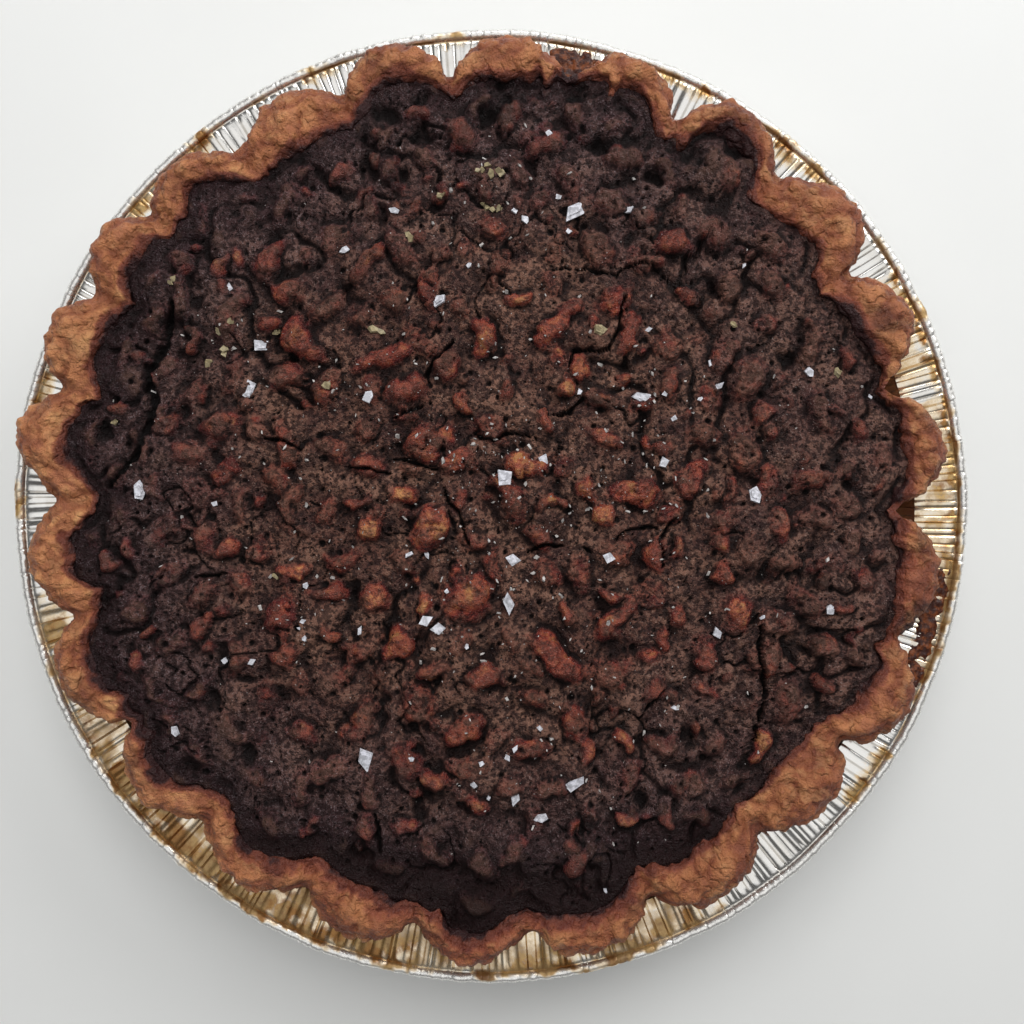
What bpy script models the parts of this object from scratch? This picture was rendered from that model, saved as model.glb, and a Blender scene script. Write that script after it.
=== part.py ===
# Honey walnut pie, whole, in the foil tin it was baked in.
# Metres, +Z up. The origin is the middle of the tin's flat bottom.

import math
import random

import bmesh
import bpy
import numpy as np
from mathutils import Euler, Matrix, Vector, noise
from mathutils.bvhtree import BVHTree
from mathutils.geometry import delaunay_2d_cdt

MM = 0.001

# The foil tin
TIN_BOTTOM_RADIUS = 82.5 * MM
TIN_BOTTOM_ROUNDING = 2.0 * MM
TIN_FLANGE_HEIGHT = 38.0 * MM
TIN_FLANGE_SLOPE = 0.3 * MM  # rise of the flange from the wall to the bead
TIN_FLANGE_INNER_RADIUS = 109.8 * MM
TIN_RIM_RADIUS = 122.2 * MM
TIN_BEAD_RADIUS = 1.1 * MM
TIN_SHEET = 0.6 * MM
TIN_STEPS = 76
TIN_BEAD_POINTS = 6

# The space that pieces keep to each other
GAP = 0.3 * MM

# The pastry
PASTRY_THICKNESS = 3.6 * MM
PASTRY_CREST_HEIGHT = 47.6 * MM
PASTRY_TIP_LIFT = 1.3 * MM  # a tip stands this much higher than a valley
PASTRY_UNEVENNESS = 0.6 * MM
PASTRY_BELLY_HEIGHT = 42.2 * MM
PASTRY_FOOT_HEIGHT = 38.7 * MM
PASTRY_FOOT_OVER_BEAD = 39.5 * MM
PASTRY_NECK_HEIGHT = 37.9 * MM
PASTRY_NECK_RADIUS = 108.0 * MM
PASTRY_PUSHED_RADIUS = 103.0 * MM  # the neck pushes the filling part of the way to this radius
PASTRY_PUSHED_SHARE = 0.45
PASTRY_UNEVEN_DETAIL = 9.0  # about the number of ups and downs in a third of the way round
CREST_SHARES = (0.16, 0.42, 0.72)  # of the pastry's seen width: shoulder, crest and inner slope
SHOULDER_DROP = 1.7 * MM
INNER_SLOPE_DROP = 0.4 * MM
WALL_RING_HEIGHT = 31.5 * MM
SEGMENTS_PER_SCALLOP = 8
TIP_BREADTH = 0.95  # share of the way to a tip at which a rounded scallop reaches its full radius

# The crimped edge, one row for each scallop, counterclockwise from +X:
# direction of its tip (degrees), radius of the tip, pastry seen across the tip,
# radius of the valley that follows it, pastry seen across that valley (mm),
# how sharp that valley is (0 rounded, 1 a fold)
SCALLOPS = (
    (8.0, 115.8, 10.9, 103.9, 4.4, 0.9),
    (25.0, 116.8, 15.7, 109.5, 12.5, 0.9),
    (40.5, 119.8, 15.9, 112.0, 12.0, 0.3),
    (57.0, 119.5, 8.6, 110.2, 9.1, 0.9),
    (72.0, 119.1, 8.9, 110.7, 4.0, 0.5),
    (87.5, 119.2, 12.3, 110.0, 8.1, 0.8),
    (103.0, 119.9, 11.6, 112.0, 11.8, 0.4),
    (117.0, 117.1, 16.6, 111.0, 11.2, 0.3),
    (133.5, 118.2, 9.2, 115.0, 11.1, 0.4),
    (145.3, 120.8, 13.8, 115.0, 12.0, 0.2),
    (158.3, 120.7, 15.1, 114.5, 13.7, 0.4),
    (171.0, 121.0, 13.6, 111.5, 13.8, 0.1),
    (187.0, 117.6, 12.7, 110.0, 9.8, 0.8),
    (202.5, 117.6, 10.6, 107.7, 6.6, 0.8),
    (219.5, 115.1, 10.0, 109.5, 11.2, 0.1),
    (235.5, 114.9, 10.5, 108.8, 11.1, 0.3),
    (252.5, 114.8, 15.0, 108.2, 7.1, 0.6),
    (267.0, 115.3, 8.3, 109.5, 8.7, 0.4),
    (283.5, 116.3, 11.9, 108.5, 11.2, 0.6),
    (301.0, 115.4, 15.1, 109.0, 12.5, 0.5),
    (318.0, 114.5, 18.1, 108.5, 11.5, 0.5),
    (334.0, 118.3, 15.0, 108.5, 4.9, 0.6),
    (350.7, 115.0, 12.5, 104.1, 5.7, 0.7),
)

# The filling
FILLING_EDGE_HEIGHT = 45.6 * MM
FILLING_DOME = 0.2 * MM
LUMP_HEIGHT = 4.2 * MM
LUMP_SIZE = 19.0 * MM
LUMP_LEVEL = 0.22  # share of the lumps' height that lies under the dome
EDGE_FADE = 11.0 * MM  # lumps and dome fade out over this distance from the pastry
TOP_MESH_SPACING = 6.0 * MM
TOP_MESH_SHIFT = 0.2  # share of the spacing that a point may lie off its place

# The largest walnut pieces: across (+X), up (+Y), length, width, turn (degrees), height proud (mm)
WALNUTS = (
    (-47, 41, 13, 8, -60, 2.6), (-55, 61, 12, 8, 75, 2.4), (-50, 54, 9, 6, 10, 1.8),
    (-27, 37, 16, 6, 12, 2.0), (-21, 29, 12, 8, 0, 2.2), (-10, 35, 9, 7, 80, 1.8),
    (-2, 42, 10, 6, 95, 1.8), (-16, 17, 13, 12, 30, 2.6), (-30, 9, 9, 8, 0, 2.0),
    (-53, 7, 9, 8, 120, 1.8), (-67, 20, 13, 9, 20, 2.2), (-75, 13, 11, 7, 0, 1.8),
    (9, 10, 12, 7, -8, 2.4), (17, 46, 15, 6, 45, 2.2), (23, 35, 8, 7, 90, 2.0),
    (35, 43, 12, 6, 80, 2.0), (35, 4, 16, 9, 10, 2.2), (28, 17, 9, 5, 0, 1.6),
    (46, 66, 11, 8, -10, 2.4), (68, 23, 8, 6, 90, 1.8), (-14, -6, 12, 10, 40, 2.2),
    (-30, -5, 9, 8, 70, 2.0), (-37, -13, 10, 6, 0, 1.8), (-29, -23, 9, 7, 60, 2.0),
    (-5, -24, 15, 13, 35, 2.8), (-52, -27, 11, 9, 80, 2.0), (-51, -37, 9, 6, 10, 1.8),
    (-23, -35, 11, 8, 70, 2.2), (-14, -41, 9, 5, 15, 1.8), (-2, -42, 9, 7, 20, 2.2),
    (-7, -55, 12, 9, 15, 2.4), (41, -12, 9, 7, 80, 1.8), (62, -27, 11, 10, 50, 2.6),
    (14, -17, 11, 9, 130, 2.0), (32, -28, 15, 6, 50, 1.8), (16, -38, 17, 8, -48, 2.8),
    (55, -37, 10, 8, 100, 2.2), (21, -54, 10, 8, 70, 2.2), (10, -61, 12, 8, 10, 2.2),
    (72, -5, 9, 7, 90, 2.0), (-72, -7, 9, 6, 80, 1.8), (-72, -22, 9, 7, 20, 1.8),
    (-8, 92, 10, 8, 120, 2.2), (14, 90, 11, 9, 30, 2.2), (33, 87, 10, 7, 20, 2.0),
    (-32, -80, 9, 6, 75, 1.8), (68, -61, 10, 6, 75, 2.0), (80, 7, 11, 7, 10, 1.8),
)
SMALL_WALNUTS = 22
SMALL_WALNUT_LENGTH = (5.5, 8.0)  # mm
SMALL_WALNUT_PROUD = (1.2, 1.9)  # mm
SMALL_WALNUT_REACH = 92.0  # mm from the middle, at most
WALNUT_SPACING = 0.62  # share of two pieces' lengths that their middles keep between them
WALNUT_DEPTH = 9.0 * MM
WALNUT_LIFT = 1.0 * MM  # added to every height, as the core's facets run flatter than its curve
WALNUT_KNOBBLINESS = 0.11
WALNUT_TILT = 8.0  # degrees, at most

# The largest salt flakes: across (+X), up (+Y), size, turn (degrees) (mm)
SALT_FLAKES = (
    (21, 74, 7.0, 35), (-30, -63, 5.8, 80), (21, -70, 6.4, 25), (39, 27, 5.2, 10),
    (3, 7, 4.6, 60), (-60, 29, 4.4, 30), (-57, 41, 4.2, 0), (-88, 4, 4.6, 100),
    (4, -24, 4.6, 75), (6, -13, 3.6, 20), (66, 3, 4.0, 50), (57, 30, 3.4, 0),
    (-13, 51, 3.4, 15), (13, -77, 3.8, 40), (6, -73, 3.6, 110), (-13, -30, 3.4, 20),
    (-16, -28, 3.2, 90), (29, -13, 3.0, 0), (57, -32, 3.0, 45), (43, 11, 3.0, 80),
)
FLAKE_THICKNESS = 0.7 * MM
FLAKE_SINK = 0.3 * MM
FLAKE_SIDES = 6
FLAKE_TILT = 12.0  # degrees, at most

COLLECTION_NAME = "honey_walnut_pie"
SEED = 23

# Colour (linear), roughness, metallic
FINISHES = {
    "foil_tin": ((0.62, 0.61, 0.58), 0.30, 1.0),
    "pastry_crust": ((0.42, 0.15, 0.055), 0.62, 0.0),
    "walnut_filling": ((0.035, 0.018, 0.012), 0.55, 0.0),
}


def clear_scene():
    for thing in list(bpy.data.objects):
        bpy.data.objects.remove(thing, do_unlink=True)


def part_collection():
    collection = bpy.data.collections.new(COLLECTION_NAME)
    bpy.context.scene.collection.children.link(collection)
    return collection


def smooth_step(value):
    value = np.clip(value, 0.0, 1.0)
    return value * value * (3.0 - 2.0 * value)


def finish(name):
    colour, roughness, metallic = FINISHES[name]
    material = bpy.data.materials.new(name)
    material.use_nodes = True
    shader = material.node_tree.nodes["Principled BSDF"]
    shader.inputs["Base Color"].default_value = (*colour, 1.0)
    shader.inputs["Roughness"].default_value = roughness
    shader.inputs["Metallic"].default_value = metallic
    return material


def add_object(name, mesh, collection, smooth_angle=None):
    part = bpy.data.objects.new(name, mesh)
    collection.objects.link(part)
    if name in FINISHES:
        mesh.materials.append(finish(name))
    if smooth_angle is not None:
        mesh.shade_smooth()
        mesh.set_sharp_from_angle(angle=math.radians(smooth_angle))
    return part


# The foil tin


def offset_path(points, distance):
    """The (radius, height) path moved to its right-hand side, corners mitred."""
    path = np.array(points, dtype=float)
    steps = np.diff(path, axis=0)
    steps /= np.linalg.norm(steps, axis=1)[:, None]
    right = np.column_stack([steps[:, 1], -steps[:, 0]])
    before = np.vstack([right[:1], right])
    after = np.vstack([right, right[-1:]])
    mitre = before + after
    mitre *= (2.0 / (mitre**2).sum(axis=1))[:, None]
    return path + distance * mitre


def tin_inner_path():
    """The tin's inside from the axis out to where the flange meets the bead."""
    wall_top_radius = TIN_FLANGE_INNER_RADIUS - 1.2 * MM
    flange_start = TIN_FLANGE_HEIGHT - TIN_FLANGE_SLOPE
    return [
        (0.0, TIN_SHEET),
        (TIN_BOTTOM_RADIUS - TIN_BOTTOM_ROUNDING, TIN_SHEET),
        (TIN_BOTTOM_RADIUS - 0.2 * MM, TIN_SHEET + 0.4 * TIN_BOTTOM_ROUNDING),
        (wall_top_radius, flange_start - 0.9 * MM),
        (TIN_FLANGE_INNER_RADIUS, flange_start),
        (TIN_RIM_RADIUS - 2.0 * TIN_BEAD_RADIUS, TIN_FLANGE_HEIGHT),
    ]


def make_foil_tin(collection):
    inside = tin_inner_path()
    outside = offset_path(inside, TIN_SHEET)
    outside[0][0] = 0.0
    bead_centre = TIN_RIM_RADIUS - TIN_BEAD_RADIUS
    bead = []
    for turn in np.linspace(150.0, -150.0, TIN_BEAD_POINTS):
        angle = math.radians(turn)
        radius = bead_centre + TIN_BEAD_RADIUS * math.cos(angle)
        bead.append((radius, TIN_FLANGE_HEIGHT + TIN_BEAD_RADIUS * math.sin(angle)))
    profile = inside + bead + [tuple(point) for point in outside[::-1]]
    mesh = bpy.data.meshes.new("foil_tin")
    edges = [(index, index + 1) for index in range(len(profile) - 1)]
    mesh.from_pydata([(radius, 0.0, height) for radius, height in profile], edges, [])
    tin = add_object("foil_tin", mesh, collection)
    turn = tin.modifiers.new("turn", "SCREW")
    turn.steps = TIN_STEPS
    turn.render_steps = TIN_STEPS
    turn.use_merge_vertices = True
    turn.merge_threshold = 0.02 * MM
    turn.use_smooth_shade = True
    return tin


# The crimped outline


def scallop_outline():
    """Directions and, for each, outer radius, pastry width and a 0 to 1 share of the tip."""
    directions, outer, width, share = [], [], [], []
    half = SEGMENTS_PER_SCALLOP // 2
    count = len(SCALLOPS)
    for index, scallop in enumerate(SCALLOPS):
        tip_angle, tip_radius, tip_width, next_radius, next_width, next_sharp = scallop
        before_angle, _, _, valley_radius, valley_width, valley_sharp = SCALLOPS[index - 1]
        after_angle = SCALLOPS[(index + 1) % count][0]
        if before_angle > tip_angle:
            before_angle -= 360.0
        if after_angle < tip_angle:
            after_angle += 360.0
        sides = (
            (0.5 * (before_angle + tip_angle), valley_radius, valley_width, valley_sharp, 0.0, 1.0),
            (0.5 * (after_angle + tip_angle), next_radius, next_width, next_sharp, 1.0, 0.0),
        )
        for angle, radius, band, sharp, start, end in sides:
            for step in range(half):
                part_way = start + (end - start) * step / half
                folded = math.sin(0.5 * math.pi * part_way)
                rounded = float(smooth_step(part_way / TIP_BREADTH)) * (1.0 - sharp) + folded * sharp
                directions.append(angle + (tip_angle - angle) * part_way)
                outer.append(radius + (tip_radius - radius) * rounded)
                width.append(band + (tip_width - band) * float(smooth_step(part_way)))
                share.append(rounded)
    return np.radians(directions), np.array(outer) * MM, np.array(width) * MM, np.array(share)


def ring(directions, radius, height):
    radius = np.broadcast_to(radius, directions.shape)
    height = np.broadcast_to(height, directions.shape)
    return np.column_stack([radius * np.cos(directions), radius * np.sin(directions), height])


class Loft:
    """Rings of points joined into one closed skin; a ring may have half the points of the next."""

    def __init__(self):
        self.mesh = bmesh.new()

    def points(self, rows):
        return [self.mesh.verts.new(row) for row in rows]

    def triangle(self, *corners):
        self.mesh.faces.new(corners)

    def same(self, lower, upper):
        count = len(lower)
        for index in range(count):
            after = (index + 1) % count
            self.triangle(lower[index], lower[after], upper[after])
            self.triangle(lower[index], upper[after], upper[index])

    def coarse_to_fine(self, coarse, fine):
        count = len(coarse)
        for index in range(count):
            after = (index + 1) % count
            first, middle, last = fine[2 * index], fine[2 * index + 1], fine[(2 * index + 2) % len(fine)]
            self.triangle(coarse[index], middle, first)
            self.triangle(coarse[index], coarse[after], middle)
            self.triangle(coarse[after], last, middle)

    def fan(self, rim, centre):
        for index, corner in enumerate(rim):
            self.triangle(corner, centre, rim[(index + 1) % len(rim)])

    def finished(self, name):
        bmesh.ops.recalc_face_normals(self.mesh, faces=self.mesh.faces)
        mesh = bpy.data.meshes.new(name)
        self.mesh.to_mesh(mesh)
        self.mesh.free()
        return mesh


# The pastry


def wall_radius(height):
    """Inner radius of the tin's wall at this height."""
    foot, top = tin_inner_path()[2:4]
    share = (height - foot[1]) / (top[1] - foot[1])
    return foot[0] + share * (top[0] - foot[0])


def pastry_inner_rings(directions, outer, width):
    """The three rings that the filling meets, from the top down."""
    seen = outer - width
    under_radius = PASTRY_PUSHED_RADIUS + PASTRY_PUSHED_SHARE * (seen - PASTRY_PUSHED_RADIUS)
    under_radius = np.minimum(under_radius, outer - 4.2 * MM)
    lining = wall_radius(WALL_RING_HEIGHT) - 1.25 * PASTRY_THICKNESS
    return (
        (seen, FILLING_EDGE_HEIGHT),
        (np.minimum(under_radius, seen + 4.0 * MM), PASTRY_NECK_HEIGHT + 0.4 * MM),
        (np.full_like(seen, lining), WALL_RING_HEIGHT),
    )


def unevenness(directions, row):
    """Hand-made ups and downs along one row of the pastry's edge, in metres."""
    values = []
    for angle in directions:
        around = Vector((math.cos(angle), math.sin(angle), 0.35 * row)) * PASTRY_UNEVEN_DETAIL
        values.append(noise.noise(around))
    return PASTRY_UNEVENNESS * np.array(values)


def make_pastry_crust(collection):
    directions, outer, width, share = scallop_outline()
    coarse = directions[::2]
    lining = offset_path(tin_inner_path(), -GAP)
    crest = PASTRY_CREST_HEIGHT + PASTRY_TIP_LIFT * (share - 0.5)
    over_bead = smooth_step((outer - 117.0 * MM) / (2.0 * MM))
    foot = PASTRY_FOOT_HEIGHT + (PASTRY_FOOT_OVER_BEAD - PASTRY_FOOT_HEIGHT) * over_bead
    neck = np.minimum(outer - 1.8 * MM, PASTRY_NECK_RADIUS)
    seen, under, wall = pastry_inner_rings(directions, outer, width)
    shoulder, middle, slope = (outer - part * width for part in CREST_SHARES)
    fine_rings = (
        (wall_radius(WALL_RING_HEIGHT) - 1.3 * GAP, WALL_RING_HEIGHT),
        (neck, PASTRY_NECK_HEIGHT),
        (outer - 1.3 * MM, foot),
        (outer, PASTRY_BELLY_HEIGHT + unevenness(directions, 1)),
        (shoulder, crest - SHOULDER_DROP + unevenness(directions, 2)),
        (middle + unevenness(directions, 3), crest + unevenness(directions, 4)),
        (slope, crest - INNER_SLOPE_DROP + unevenness(directions, 5)),
        seen,
        under,
        wall,
    )
    loft = Loft()
    bottom_centre = loft.points([(0.0, 0.0, lining[0][1])])[0]
    bottom_edge = loft.points(ring(coarse, *lining[1]))
    bottom_corner = loft.points(ring(coarse, *lining[2]))
    loft.fan(bottom_edge, bottom_centre)
    loft.same(bottom_edge, bottom_corner)
    rows = [loft.points(ring(directions, radius, height)) for radius, height in fine_rings]
    loft.coarse_to_fine(bottom_corner, rows[0])
    for lower, upper in zip(rows, rows[1:]):
        loft.same(lower, upper)
    floor_height = lining[0][1] + PASTRY_THICKNESS
    floor_edge = loft.points(ring(coarse, floor_radius(), floor_height))
    loft.coarse_to_fine(floor_edge, rows[-1])
    loft.fan(floor_edge, loft.points([(0.0, 0.0, floor_height)])[0])
    return add_object("pastry_crust", loft.finished("pastry_crust"), collection, smooth_angle=50)


def floor_radius():
    return TIN_BOTTOM_RADIUS - 1.2 * PASTRY_THICKNESS


# The filling


def core_height(x, y, edge_distance):
    """Height of the baked filling without its nuts: a low dome of pillows with creases between."""
    inside = float(smooth_step(edge_distance / EDGE_FADE))
    reach = math.hypot(x, y) / TIN_FLANGE_INNER_RADIUS
    dome = FILLING_DOME * max(0.0, 1.0 - reach**2)
    place = Vector((x, y, 0.0)) / LUMP_SIZE
    pillows = abs(noise.noise(place)) + 0.5 * abs(noise.noise(2.1 * place))
    lumps = LUMP_HEIGHT * (pillows - LUMP_LEVEL)
    return FILLING_EDGE_HEIGHT + inside * (dome + lumps)


def core_top_points(rim):
    """Uneven points over the top, clear of the rim, each with its distance to it."""
    draw = random.Random(SEED)
    limit = max(math.hypot(x, y) for x, y in rim)
    row_step = TOP_MESH_SPACING * math.sqrt(3.0) / 2.0
    rows = int(limit / row_step)
    found = []
    for row in range(-rows, rows + 1):
        shift = 0.5 * TOP_MESH_SPACING * (row % 2)
        for column in range(-rows - 1, rows + 2):
            x = column * TOP_MESH_SPACING + shift
            x += draw.uniform(-TOP_MESH_SHIFT, TOP_MESH_SHIFT) * TOP_MESH_SPACING
            y = row * row_step + draw.uniform(-TOP_MESH_SHIFT, TOP_MESH_SHIFT) * TOP_MESH_SPACING
            distance = distance_to_rim(x, y, rim)
            if distance > 0.45 * TOP_MESH_SPACING:
                found.append((x, y, distance))
    return found


def distance_to_rim(x, y, rim):
    """How far inside the rim the point lies; below zero when it lies outside."""
    away = np.hypot(rim[:, 0] - x, rim[:, 1] - y)
    nearest = rim[away.argmin()]
    inside = math.hypot(*nearest) > math.hypot(x, y)
    return float(away.min()) if inside else -float(away.min())


def make_core():
    """The filling under its nuts and salt, one closed body, with the rim that bounds its top."""
    directions, outer, width, _ = scallop_outline()
    coarse = directions[::2]
    side_gap = 1.3 * GAP
    rings = [(radius - side_gap, height) for radius, height in pastry_inner_rings(directions, outer, width)]
    floor_height = TIN_SHEET + 2.0 * GAP + PASTRY_THICKNESS
    loft = Loft()
    bottom = loft.points(ring(coarse, floor_radius() - side_gap, floor_height))
    loft.fan(bottom, loft.points([(0.0, 0.0, floor_height)])[0])
    rows = [loft.points(ring(directions, radius, height)) for radius, height in rings]
    for upper, lower in zip(rows, rows[1:]):
        loft.same(upper, lower)
    loft.coarse_to_fine(bottom, rows[-1])
    top = rows[0]
    rim = np.array([corner.co[:2] for corner in top])
    inner = core_top_points(rim)
    flat = [Vector(point) for point in rim] + [Vector(point[:2]) for point in inner]
    border = [(index, (index + 1) % len(rim)) for index in range(len(rim))]
    triangles = delaunay_2d_cdt(flat, border, [], 1, 1e-7)[2]
    corners = top + loft.points([(x, y, core_height(x, y, away)) for x, y, away in inner])
    for triangle in triangles:
        loft.triangle(*[corners[index] for index in triangle])
    return loft.finished("walnut_filling"), rim


def add_helper(name, mesh, collection, place):
    mesh.transform(place)
    helper = bpy.data.objects.new(name, mesh)
    collection.objects.link(helper)
    return helper


def walnut_mesh(length, width, draw):
    """A knobbly lump, its length along X."""
    lump = bmesh.new()
    bmesh.ops.create_icosphere(lump, subdivisions=1, radius=1.0)
    for corner in lump.verts:
        corner.co *= 1.08 + draw.uniform(-WALNUT_KNOBBLINESS, WALNUT_KNOBBLINESS)
        corner.co.x *= 0.5 * length
        corner.co.y *= 0.5 * width
        corner.co.z *= 0.5 * WALNUT_DEPTH
    mesh = bpy.data.meshes.new("walnut")
    lump.to_mesh(mesh)
    lump.free()
    return mesh


def flake_mesh(size, draw):
    """An uneven flat crystal."""
    crystal = bmesh.new()
    bmesh.ops.create_cone(crystal, cap_ends=True, segments=FLAKE_SIDES, depth=FLAKE_THICKNESS,
                          radius1=0.5 * size, radius2=0.44 * size)
    for angle_step in range(FLAKE_SIDES):
        stretch = draw.uniform(0.72, 1.05)
        for corner in crystal.verts:
            around = math.atan2(corner.co.y, corner.co.x) * FLAKE_SIDES / (2.0 * math.pi)
            if round(around) % FLAKE_SIDES == angle_step:
                corner.co.x *= stretch
                corner.co.y *= 0.8 * stretch
    bmesh.ops.triangulate(crystal, faces=crystal.faces)
    mesh = bpy.data.meshes.new("salt_flake")
    crystal.to_mesh(mesh)
    crystal.free()
    return mesh


def all_walnuts():
    """The largest pieces, then small ones that a seeded draw puts between them."""
    draw = random.Random(SEED)
    pieces = list(WALNUTS)
    while len(pieces) < len(WALNUTS) + SMALL_WALNUTS:
        across = draw.uniform(-SMALL_WALNUT_REACH, SMALL_WALNUT_REACH)
        up = draw.uniform(-SMALL_WALNUT_REACH, SMALL_WALNUT_REACH)
        length = draw.uniform(*SMALL_WALNUT_LENGTH)
        clear = all(math.hypot(across - piece[0], up - piece[1]) > WALNUT_SPACING * (length + piece[2])
                    for piece in pieces)
        if clear and math.hypot(across, up) < SMALL_WALNUT_REACH:
            width = length * draw.uniform(0.6, 0.85)
            turn = draw.uniform(0.0, 180.0)
            pieces.append((across, up, length, width, turn, draw.uniform(*SMALL_WALNUT_PROUD)))
    return pieces


def skin(mesh):
    corners = [corner.co for corner in mesh.vertices]
    return BVHTree.FromPolygons(corners, [face.vertices for face in mesh.polygons])


def surface_height(x, y, trees):
    """Height of the highest skin at this place."""
    above = Vector((x, y, 2.0 * PASTRY_CREST_HEIGHT))
    hits = [tree.ray_cast(above, Vector((0.0, 0.0, -1.0)))[0] for tree in trees]
    return max(hit.z for hit in hits if hit is not None)


def set_down(x, y, height, most_tilt, turn, draw):
    """Where a piece lies: turned, and leaning a little as it happens to."""
    lean = [math.radians(draw.uniform(-most_tilt, most_tilt)) for _ in range(2)]
    return Matrix.Translation((x, y, height)) @ Euler((*lean, math.radians(turn))).to_matrix().to_4x4()


def make_walnut_filling(collection):
    mesh, rim = make_core()
    filling = add_object("walnut_filling", mesh, collection)
    toppings = bpy.data.collections.new("toppings")
    bpy.context.scene.collection.children.link(toppings)
    draw = random.Random(SEED + 1)
    walnuts = all_walnuts()
    for index, (across, up, length, width, turn, proud) in enumerate(walnuts):
        x, y = across * MM, up * MM
        height = core_height(x, y, distance_to_rim(x, y, rim))
        height += WALNUT_LIFT + proud * MM - 0.5 * WALNUT_DEPTH
        place = set_down(x, y, height, WALNUT_TILT, turn, draw)
        add_helper(f"walnut_{index}", walnut_mesh(length * MM, width * MM, draw), toppings, place)
    trees = [skin(helper.data) for helper in (filling, *toppings.objects)]
    for index, (across, up, size, turn) in enumerate(SALT_FLAKES):
        x, y = across * MM, up * MM
        height = surface_height(x, y, trees) + 0.5 * FLAKE_THICKNESS - FLAKE_SINK
        place = set_down(x, y, height, FLAKE_TILT, turn, draw)
        add_helper(f"salt_{index}", flake_mesh(size * MM, draw), toppings, place)
    join = filling.modifiers.new("join", "BOOLEAN")
    join.operation = "UNION"
    join.operand_type = "COLLECTION"
    join.collection = toppings
    join.solver = "EXACT"
    graph = bpy.context.evaluated_depsgraph_get()
    joined = bpy.data.meshes.new_from_object(filling.evaluated_get(graph))
    filling.modifiers.clear()
    filling.data = joined
    for helper in list(toppings.objects):
        bpy.data.objects.remove(helper, do_unlink=True)
    bpy.data.collections.remove(toppings)
    joined.shade_smooth()
    joined.set_sharp_from_angle(angle=math.radians(35))
    return filling


def main():
    clear_scene()
    collection = part_collection()
    make_foil_tin(collection)
    make_pastry_crust(collection)
    make_walnut_filling(collection)


main()
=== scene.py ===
import math
import random

import bpy
import numpy as np
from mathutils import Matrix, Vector, noise
from mathutils.bvhtree import BVHTree


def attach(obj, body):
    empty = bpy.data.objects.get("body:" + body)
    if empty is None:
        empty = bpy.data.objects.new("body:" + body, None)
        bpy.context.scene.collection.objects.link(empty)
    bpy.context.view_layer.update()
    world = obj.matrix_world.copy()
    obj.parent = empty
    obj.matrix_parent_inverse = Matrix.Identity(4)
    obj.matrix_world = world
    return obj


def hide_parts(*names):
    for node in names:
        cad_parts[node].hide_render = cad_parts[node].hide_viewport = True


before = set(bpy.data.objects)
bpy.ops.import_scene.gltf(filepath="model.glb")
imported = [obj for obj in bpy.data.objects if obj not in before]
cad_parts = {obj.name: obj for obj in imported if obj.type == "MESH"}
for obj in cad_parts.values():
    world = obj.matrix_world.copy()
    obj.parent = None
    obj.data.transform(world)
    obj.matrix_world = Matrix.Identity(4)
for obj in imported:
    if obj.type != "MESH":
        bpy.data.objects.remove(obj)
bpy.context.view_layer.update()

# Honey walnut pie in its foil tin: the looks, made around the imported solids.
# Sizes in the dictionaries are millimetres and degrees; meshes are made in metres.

mm = 0.001
compass = np.random.RandomState(5).normal(size=(256, 3))  # the slopes that ripple draws on
compass /= np.linalg.norm(compass, axis=1)[:, None]
photo = {"middle": 512, "pixel": 0.2519, "pieX": 5.4, "pieY": -1.5}  # pixel is its size on the filling


# Small tools for shapes

def smoothStep(value, low=0.0, high=1.0):
    value = np.clip((value - low) / (high - low), 0.0, 1.0)
    return value * value * (3.0 - 2.0 * value)


def fallOff(value, low=0.0, high=1.0):
    return 1.0 - smoothStep(value, low, high)


def hump(offset, half):
    return np.exp(-(offset / half)**2)


def degreesFrom(turn, direction):
    # signed, from -180 to 180
    return (turn - direction + 180.0) % 360.0 - 180.0


def byDirection(turn, knots):
    # between (direction, value) pairs that go all the way round
    return np.interp(turn % 360.0, *zip(*knots))


def ringOf(angle, radius, height):
    radius, height = np.broadcast_to(radius, angle.shape), np.broadcast_to(height, angle.shape)
    return np.column_stack([radius * np.cos(angle), radius * np.sin(angle), height])


def ripple(points, size, seed=0):
    # smooth ups and downs from about -1 to 1, each about size across
    spot = np.asarray(points, dtype=float) / size + 37.7 * (seed + 1)
    cell = np.floor(spot).astype(np.int64)
    inside = spot - cell
    ease = inside**3 * (inside * (inside * 6.0 - 15.0) + 10.0)
    total = np.zeros(len(spot))
    for corner in np.ndindex(2, 2, 2):
        at = cell + corner
        # large primes scramble the corner's place into one of the slopes
        code = (at[:, 0] * 374761393 + at[:, 1] * 668265263 + at[:, 2] * 2147483647) & 0xFFFFFFFF
        code = ((code ^ (code >> 13)) * 1274126177) & 0xFFFFFFFF
        slope = compass[(code ^ (code >> 16)) & 255]
        weight = np.prod(np.where(np.array(corner, dtype=bool), ease, 1.0 - ease), axis=1)
        total += weight * np.sum(slope * (inside - corner), axis=1)
    return 1.7 * total


def scattered(points, spacing, seed, chance):
    # distance to the nearest of some scattered places, and that place's own number from 0 to 1
    column, row = np.floor(points[:, 0] / spacing), np.floor(points[:, 1] / spacing)
    nearest, own = np.full(len(points), 1e3), np.zeros(len(points))
    for stepX, stepY in np.ndindex(3, 3):
        cellX, cellY = column + stepX - 1, row + stepY - 1
        code = np.sin(cellX * 127.1 + cellY * 311.7 + seed * 74.7) * 43758.5453
        first, second, third = (code * part % 1.0 for part in (1.0, 7.13, 31.7))
        away = np.hypot((cellX + first) * spacing - points[:, 0], (cellY + second) * spacing - points[:, 1])
        away[third > chance] = 1e3
        closer = away < nearest
        nearest[closer], own[closer] = away[closer], (third / chance)[closer]
    return nearest, own


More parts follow.
